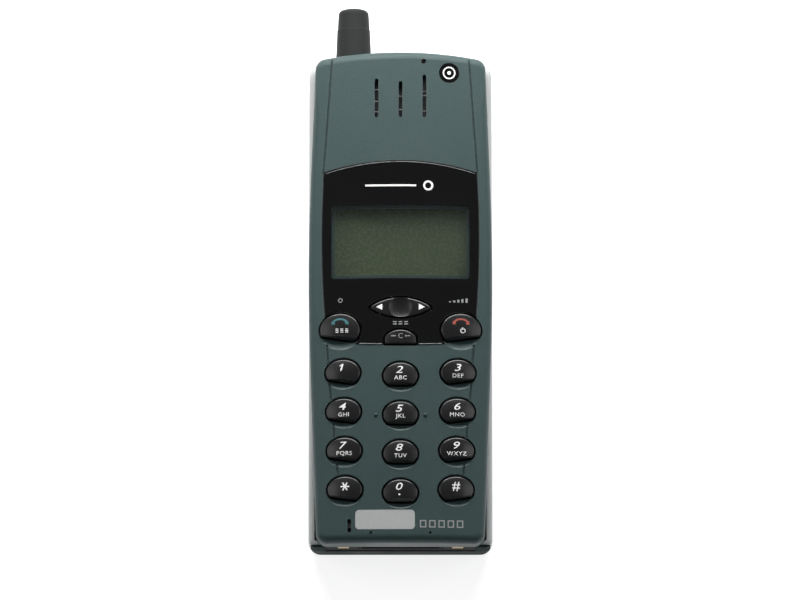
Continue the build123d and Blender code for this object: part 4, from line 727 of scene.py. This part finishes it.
SYMBOL_SQUASH = 0.7          # the receiver is drawn flatter than a half ring
HANDSET_WIDTH = 4.9 * MM
HANDSET_RISE = 0.75 * MM
SIGN_RIGHT, SIGN_DROP = 0.5 * MM, 1.0 * MM
for node, material in (("key_call", teal_ink), ("key_end", salmon_ink)):
    x, y, _ = centre_of(node)
    receiver = handset_symbol(HANDSET_WIDTH)
    bmesh.ops.scale(receiver, vec=(1.0, SYMBOL_SQUASH, 1.0), verts=receiver.verts)
    print_shape("handset_" + node, receiver, (x, y + HANDSET_RISE), node, node + "_body", material)
    if node == "key_call":
        marks = bmesh.new()
        for place in (-1, 0, 1):
            for level in (-0.42, 0, 0.42):
                bar(0.8 * MM, 0.2 * MM, marks, at=(place * 1.3 * MM, level * MM))
    else:
        marks = arc_band(0.48 * MM, 0.7 * MM, 125, 290)
        bar(0.22 * MM, 0.6 * MM, marks, at=(0, 0.5 * MM))
    print_shape("sign_" + node, marks, (x + SIGN_RIGHT, y - SIGN_DROP), node, node + "_body")

# %% The letter and the two dashes on the clear key

DASH_SIZE = (1.3 * MM, 0.25 * MM)
DASH_REACH = 1.9 * MM
CLEAR_LETTER_SIZE = 1.9 * MM
CLEAR_RISE = 0.2 * MM
x, y, _ = centre_of("clear_key")
clear_place = (x, y + CLEAR_RISE)
clear_mark = bar(*DASH_SIZE, at=(-DASH_REACH, 0))
bar(*DASH_SIZE, clear_mark, at=(DASH_REACH, 0))
print_shape("dashes_clear_key", clear_mark, clear_place, "clear_key", "clear_key_body", grey_ink)
print_text("print_clear_key", "C", CLEAR_LETTER_SIZE, clear_place, "clear_key", "clear_key_body", grey_ink)

# %% Small signs on the window

LEGEND_Y = y_at(65.2)
LIST_Y = y_at(59.3)
HEADLINE_Y = y_at(96.3)
PLAIN_ROW_Y = y_at(4.9)
RING_X, STRENGTH_X = -16.0 * MM, 15.4 * MM
HEADLINE_X, HEADLINE_RING_X = -2.6 * MM, 7.4 * MM
PLAIN_ROW_X = 10.9 * MM
small_ring = arc_band(0.38 * MM, 0.62 * MM, 0, 360)
print_shape("ring_on_window", small_ring, (RING_X, LEGEND_Y), "window_bezel", "phone", grey_ink)
steps_sign = bmesh.new()
for place in range(5):
    tall = (0.35 + 0.2 * place) * MM
    bar(0.55 * MM, tall, steps_sign, at=((place - 2) * 1.1 * MM, tall / 2 - 0.55 * MM))
print_shape("strength_sign", steps_sign, (STRENGTH_X, LEGEND_Y), "window_bezel", "phone", grey_ink)
lines_sign = bmesh.new()
for place in (-1, 0, 1):
    bar(1.0 * MM, 0.28 * MM, lines_sign, at=(place * 1.5 * MM, 0))
    bar(1.0 * MM, 0.28 * MM, lines_sign, at=(place * 1.5 * MM, -0.6 * MM))
print_shape("list_sign", lines_sign, (0.0, LIST_Y), "window_bezel", "phone", grey_ink)
print_shape("headline", bar(13.6 * MM, 0.5 * MM), (HEADLINE_X, HEADLINE_Y), "window_bezel", "phone")
wide_ring = arc_band(0.85 * MM, 1.35 * MM, 0, 360, steps=32)
print_shape("headline_ring", wide_ring, (HEADLINE_RING_X, HEADLINE_Y), "window_bezel", "phone")
plain_row = bmesh.new()
for place in range(5):
    middle = (place - 2) * 2.45 * MM
    for side in (-1, 1):
        bar(0.32 * MM, 2.0 * MM, plain_row, at=(middle + side * 0.7 * MM, 0))
        bar(1.1 * MM, 0.32 * MM, plain_row, at=(middle, side * 0.84 * MM))
print_shape("plain_row", plain_row, (PLAIN_ROW_X, PLAIN_ROW_Y), "front_cover", "phone", grey_ink)

# %% [markdown]
# ## Beads along the window, rims of the key wells, and ribs behind the slots
#
# The window's arch carries a thin bead just inside its edge. Its foot has a paler one, broken by
# the clear key. Both beads are pale, which paints the highlight lines along the arch and the foot.
# Each bead is a small round section spun about the arch's own centre and then dropped onto the face.
# The lower rim of each well gets a thin crescent of painted highlight, and each slot shows two or three
# cross ribs of the speaker grille.

# %% Beads


def bead(name, half_width, rise, crest, spans, radius, node, material):
    """A round bead along an arc through (+-half_width, crest - rise) and (0, crest)."""
    arc_radius = (half_width**2 + rise**2) / (2 * abs(rise))
    bend = 1 if rise > 0 else -1
    middle = Vector((0, crest - bend * arc_radius, 0))
    for place, (start_x, end_x) in enumerate(spans):
        start, end = (math.asin(x / arc_radius) for x in (start_x, end_x))
        shape = bmesh.new()
        ring = bmesh.ops.create_circle(shape, segments=8, radius=radius,
                                       matrix=Matrix.Rotation(math.pi / 2, 4, "Y"))
        spot = (Matrix.Translation(middle) @ Matrix.Rotation(-bend * start, 4, "Z")
                @ Matrix.Translation((0, bend * arc_radius, 0)))
        bmesh.ops.transform(shape, verts=ring["verts"], matrix=spot)
        bmesh.ops.spin(shape, geom=shape.verts[:] + shape.edges[:], cent=middle, axis=(0, 0, 1),
                       angle=-bend * (end - start), steps=36, use_duplicate=False)
        bmesh.ops.holes_fill(shape, edges=shape.edges, sides=8)
        for point in shape.verts:
            height = surface_z(node, point.co.x, point.co.y)
            point.co.z += height if height else top_z - radius
        finish_piece(f"{name}_{place}", shape, material, "phone", smooth=True)


def lacquer_and_highlight(name, colour, second, gloss, **constants):
    """A pale finish, partly lacquer and partly painted highlight, with slow patches in its tone and gloss.
    """
    material, tree, shader = new_material(name, **constants)
    patches = place_group(tree, handling, Patch_Scale=300.0, Scratch_Scale=200.0)
    tone = mix_colour(tree, patches.outputs["Patch"], colour, second)
    tree.links.new(tone.outputs["Result"], shader.inputs["Base Color"])
    sheen = add_node(tree, "MapRange", To_Min=gloss[0], To_Max=gloss[1])
    tree.links.new(patches.outputs["Patch"], sheen.inputs["Value"])
    tree.links.new(sheen.outputs["Result"], shader.inputs["Roughness"])
    return material


# The beads' pale colour paints the highlight lines along the window's arch and foot.
arch_highlight = lacquer_and_highlight("window bead", (0.16, 0.165, 0.165), (0.24, 0.245, 0.24), (0.25, 0.4),
                       Metallic=0.3, Coat_Weight=0.3)
foot_highlight = lacquer_and_highlight("pale foot bead", (0.22, 0.24, 0.235), (0.32, 0.34, 0.335), (0.3, 0.42),
                       Metallic=0.2)
bezel_low, bezel_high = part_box("window_bezel")
ARCH_RISE = 3.05 * MM
ARCH_HALF = 20.0 * MM
ARCH_INSET = 0.45 * MM       # inside the bezel's upper edge
ARCH_SPANS = [(-19.9 * MM, 19.9 * MM)]
ARCH_BEAD_RADIUS = 0.09 * MM
FOOT_SAG = 0.75 * MM
FOOT_HALF = 19.6 * MM
FOOT_INSET = 0.12 * MM       # inside the bezel's lower edge
FOOT_SPANS = [(-11.0 * MM, -4.9 * MM), (4.9 * MM, 11.0 * MM)]
FOOT_BEAD_RADIUS = 0.11 * MM
bead("arch_bead", ARCH_HALF, ARCH_RISE, bezel_high[1] - ARCH_INSET, ARCH_SPANS, ARCH_BEAD_RADIUS,
     "window_bezel", arch_highlight)
bead("foot_bead", FOOT_HALF, -FOOT_SAG, bezel_low[1] + FOOT_INSET, FOOT_SPANS, FOOT_BEAD_RADIUS,
     "window_bezel", foot_highlight)
print("bezel from", [round(v / MM, 1) for v in bezel_low], "to", [round(v / MM, 1) for v in bezel_high])

# %% Bright crescents: painted highlights on the lower rims of the key wells


def crescent(length, height, width, half_angle):
    """The lowest part of an oval's rim, which thins out towards both ends."""
    shape = arc_band(1 - width, 1.0, -90 - half_angle, 2 * half_angle)
    for point in shape.verts:
        reach = point.co.length
        turn = math.degrees(math.atan2(point.co.x, -point.co.y)) / half_angle
        if reach < 1 - width / 2:
            point.co *= (1 - width * max(math.cos(turn * math.pi / 2), 0.05)) / reach
        point.co.x *= length / 2
        point.co.y *= height / 2
    return shape


CALL_WELL = (12.0 * MM, 10.2 * MM)
NUMBER_WELL = (10.6 * MM, 8.5 * MM)
CALL_WELL_DROP, NUMBER_WELL_DROP = 1.0 * MM, 0.57 * MM      # a key's box is centred above its oval
RIM_WIDTH = 0.085            # as a share of the well's half size
RIM_HALF_ANGLE = 44
# Painted highlight: a pale crescent where each well's lower rim would catch the light.
rim_highlight = ink_and_highlight("painted rim highlight", (0.17, 0.21, 0.205), (0.12, 0.155, 0.15))
for node in [name for name in nodes if name.startswith("key_")]:
    x, y, _ = centre_of(node)
    is_call = node in ("key_call", "key_end")
    size = CALL_WELL if is_call else NUMBER_WELL
    rim_place = (x, y - (CALL_WELL_DROP if is_call else NUMBER_WELL_DROP))
    rim = crescent(*size, RIM_WIDTH, RIM_HALF_ANGLE)
    print_shape("rim_" + node, rim, rim_place, "front_cover", "phone", rim_highlight)

# %% Ribs behind the earpiece slots

SLOT_RIBS = {-6.4: (116.6, 119.5, 122.6), 0.0: (117.2, 120.9), 6.4: (116.8, 121.0, 122.2)}
FACE_DROP = 1.1 * MM         # from the phone's highest point to the middle of its face
RIB_DEPTH = 1.3 * MM         # under that face
RIB_RADIUS = 0.12 * MM
RIB_LENGTH = 0.98 * MM
rib_z = top_z - FACE_DROP - RIB_DEPTH
for slot_x, ups in SLOT_RIBS.items():
    for place, up in enumerate(ups):
        shape = bmesh.new()
        place_matrix = (Matrix.Translation((slot_x * MM, y_at(up), rib_z))
                        @ Matrix.Rotation(math.pi / 2, 4, "Y"))
        bmesh.ops.create_cone(shape, cap_ends=True, segments=10, radius1=RIB_RADIUS, radius2=RIB_RADIUS,
                              depth=RIB_LENGTH, matrix=place_matrix)
        finish_piece(f"grille_rib_{slot_x:.0f}_{place}", shape, finishes["mat_rubber"], "phone", smooth=True)


# %% [markdown]
# ## The table, the light and the camera
#
# The phone lies on a white table, lit softly from the antenna's end. A large panel there gives the
# long pale highlights on the upper edge of each key. The sheet is bright enough to wash out to white.

# %% A pale floor under the phone

FLOOR_HALF = 1.6
FLOOR_DROP = 0.2 * MM        # keeps the floor clear of the flat back
floor_mesh = bpy.data.meshes.new("floor")
sheet = bmesh.new()
bmesh.ops.create_grid(sheet, x_segments=1, y_segments=1, size=FLOOR_HALF,
                      matrix=Matrix.Translation((0, 0, -FLOOR_DROP)))
sheet.to_mesh(floor_mesh)
sheet.free()
floor = bpy.data.objects.new("floor", floor_mesh)
bpy.context.scene.collection.objects.link(floor)
material, _, shader = new_material(
    "white table", Roughness=0.9, Specular_IOR_Level=0.1, Emission_Strength=0.80
)
shader.inputs["Base Color"].default_value = (0.60, 0.60, 0.60, 1.0)
floor_mesh.materials.append(material)

# %% Soft light


def soft_panel(name, place, size, power):
    """A white rectangular light of this size that faces the phone."""
    lamp = bpy.data.lights.new(name, "AREA")
    lamp.shape = "RECTANGLE"
    lamp.size, lamp.size_y = size
    lamp.energy = power
    holder = bpy.data.objects.new(name, lamp)
    holder.location = place
    holder.rotation_euler = (Vector((0, 0, 0)) - Vector(place)).to_track_quat("-Z", "Y").to_euler()
    bpy.context.scene.collection.objects.link(holder)


soft_panel("panel beyond the antenna", (0.0, 0.24, 0.17), (0.35, 0.16), 1.85)
soft_panel("panel on the left", (-0.8, 0.1, 0.6), (0.5, 0.9), 1.6)
soft_panel("panel on the right", (0.8, 0.1, 0.6), (0.5, 0.9), 1.6)

world = bpy.data.worlds.new("studio")
world.use_nodes = True
world.node_tree.nodes["Background"].inputs["Color"].default_value = (0.95, 0.97, 1.0, 1.0)
world.node_tree.nodes["Background"].inputs["Strength"].default_value = 0.12
bpy.context.scene.world = world
bpy.context.scene.view_settings.view_transform = "Standard"

# %% Camera: almost straight above, tipped a little to the bottom end

CAMERA_DISTANCE = 2.5
CAMERA_TILT = math.radians(10.5)
FIELD_WIDTH = 0.2132         # how much of the table's width the frame spans at the phone's face
SENSOR = 36.0
aim = Vector((-0.00013, -0.0078, 0.0225))
lens = bpy.data.cameras.new("camera")
lens.sensor_width = SENSOR
lens.lens = SENSOR * CAMERA_DISTANCE / FIELD_WIDTH
lens.clip_start = 0.01
camera = bpy.data.objects.new("camera", lens)
camera.location = aim + CAMERA_DISTANCE * Vector((0.0, -math.sin(CAMERA_TILT), math.cos(CAMERA_TILT)))
camera.rotation_euler = (CAMERA_TILT, 0.0, 0.0)
bpy.context.scene.collection.objects.link(camera)
bpy.context.scene.camera = camera

# %% Update the scene, and finish

bpy.context.view_layer.update()
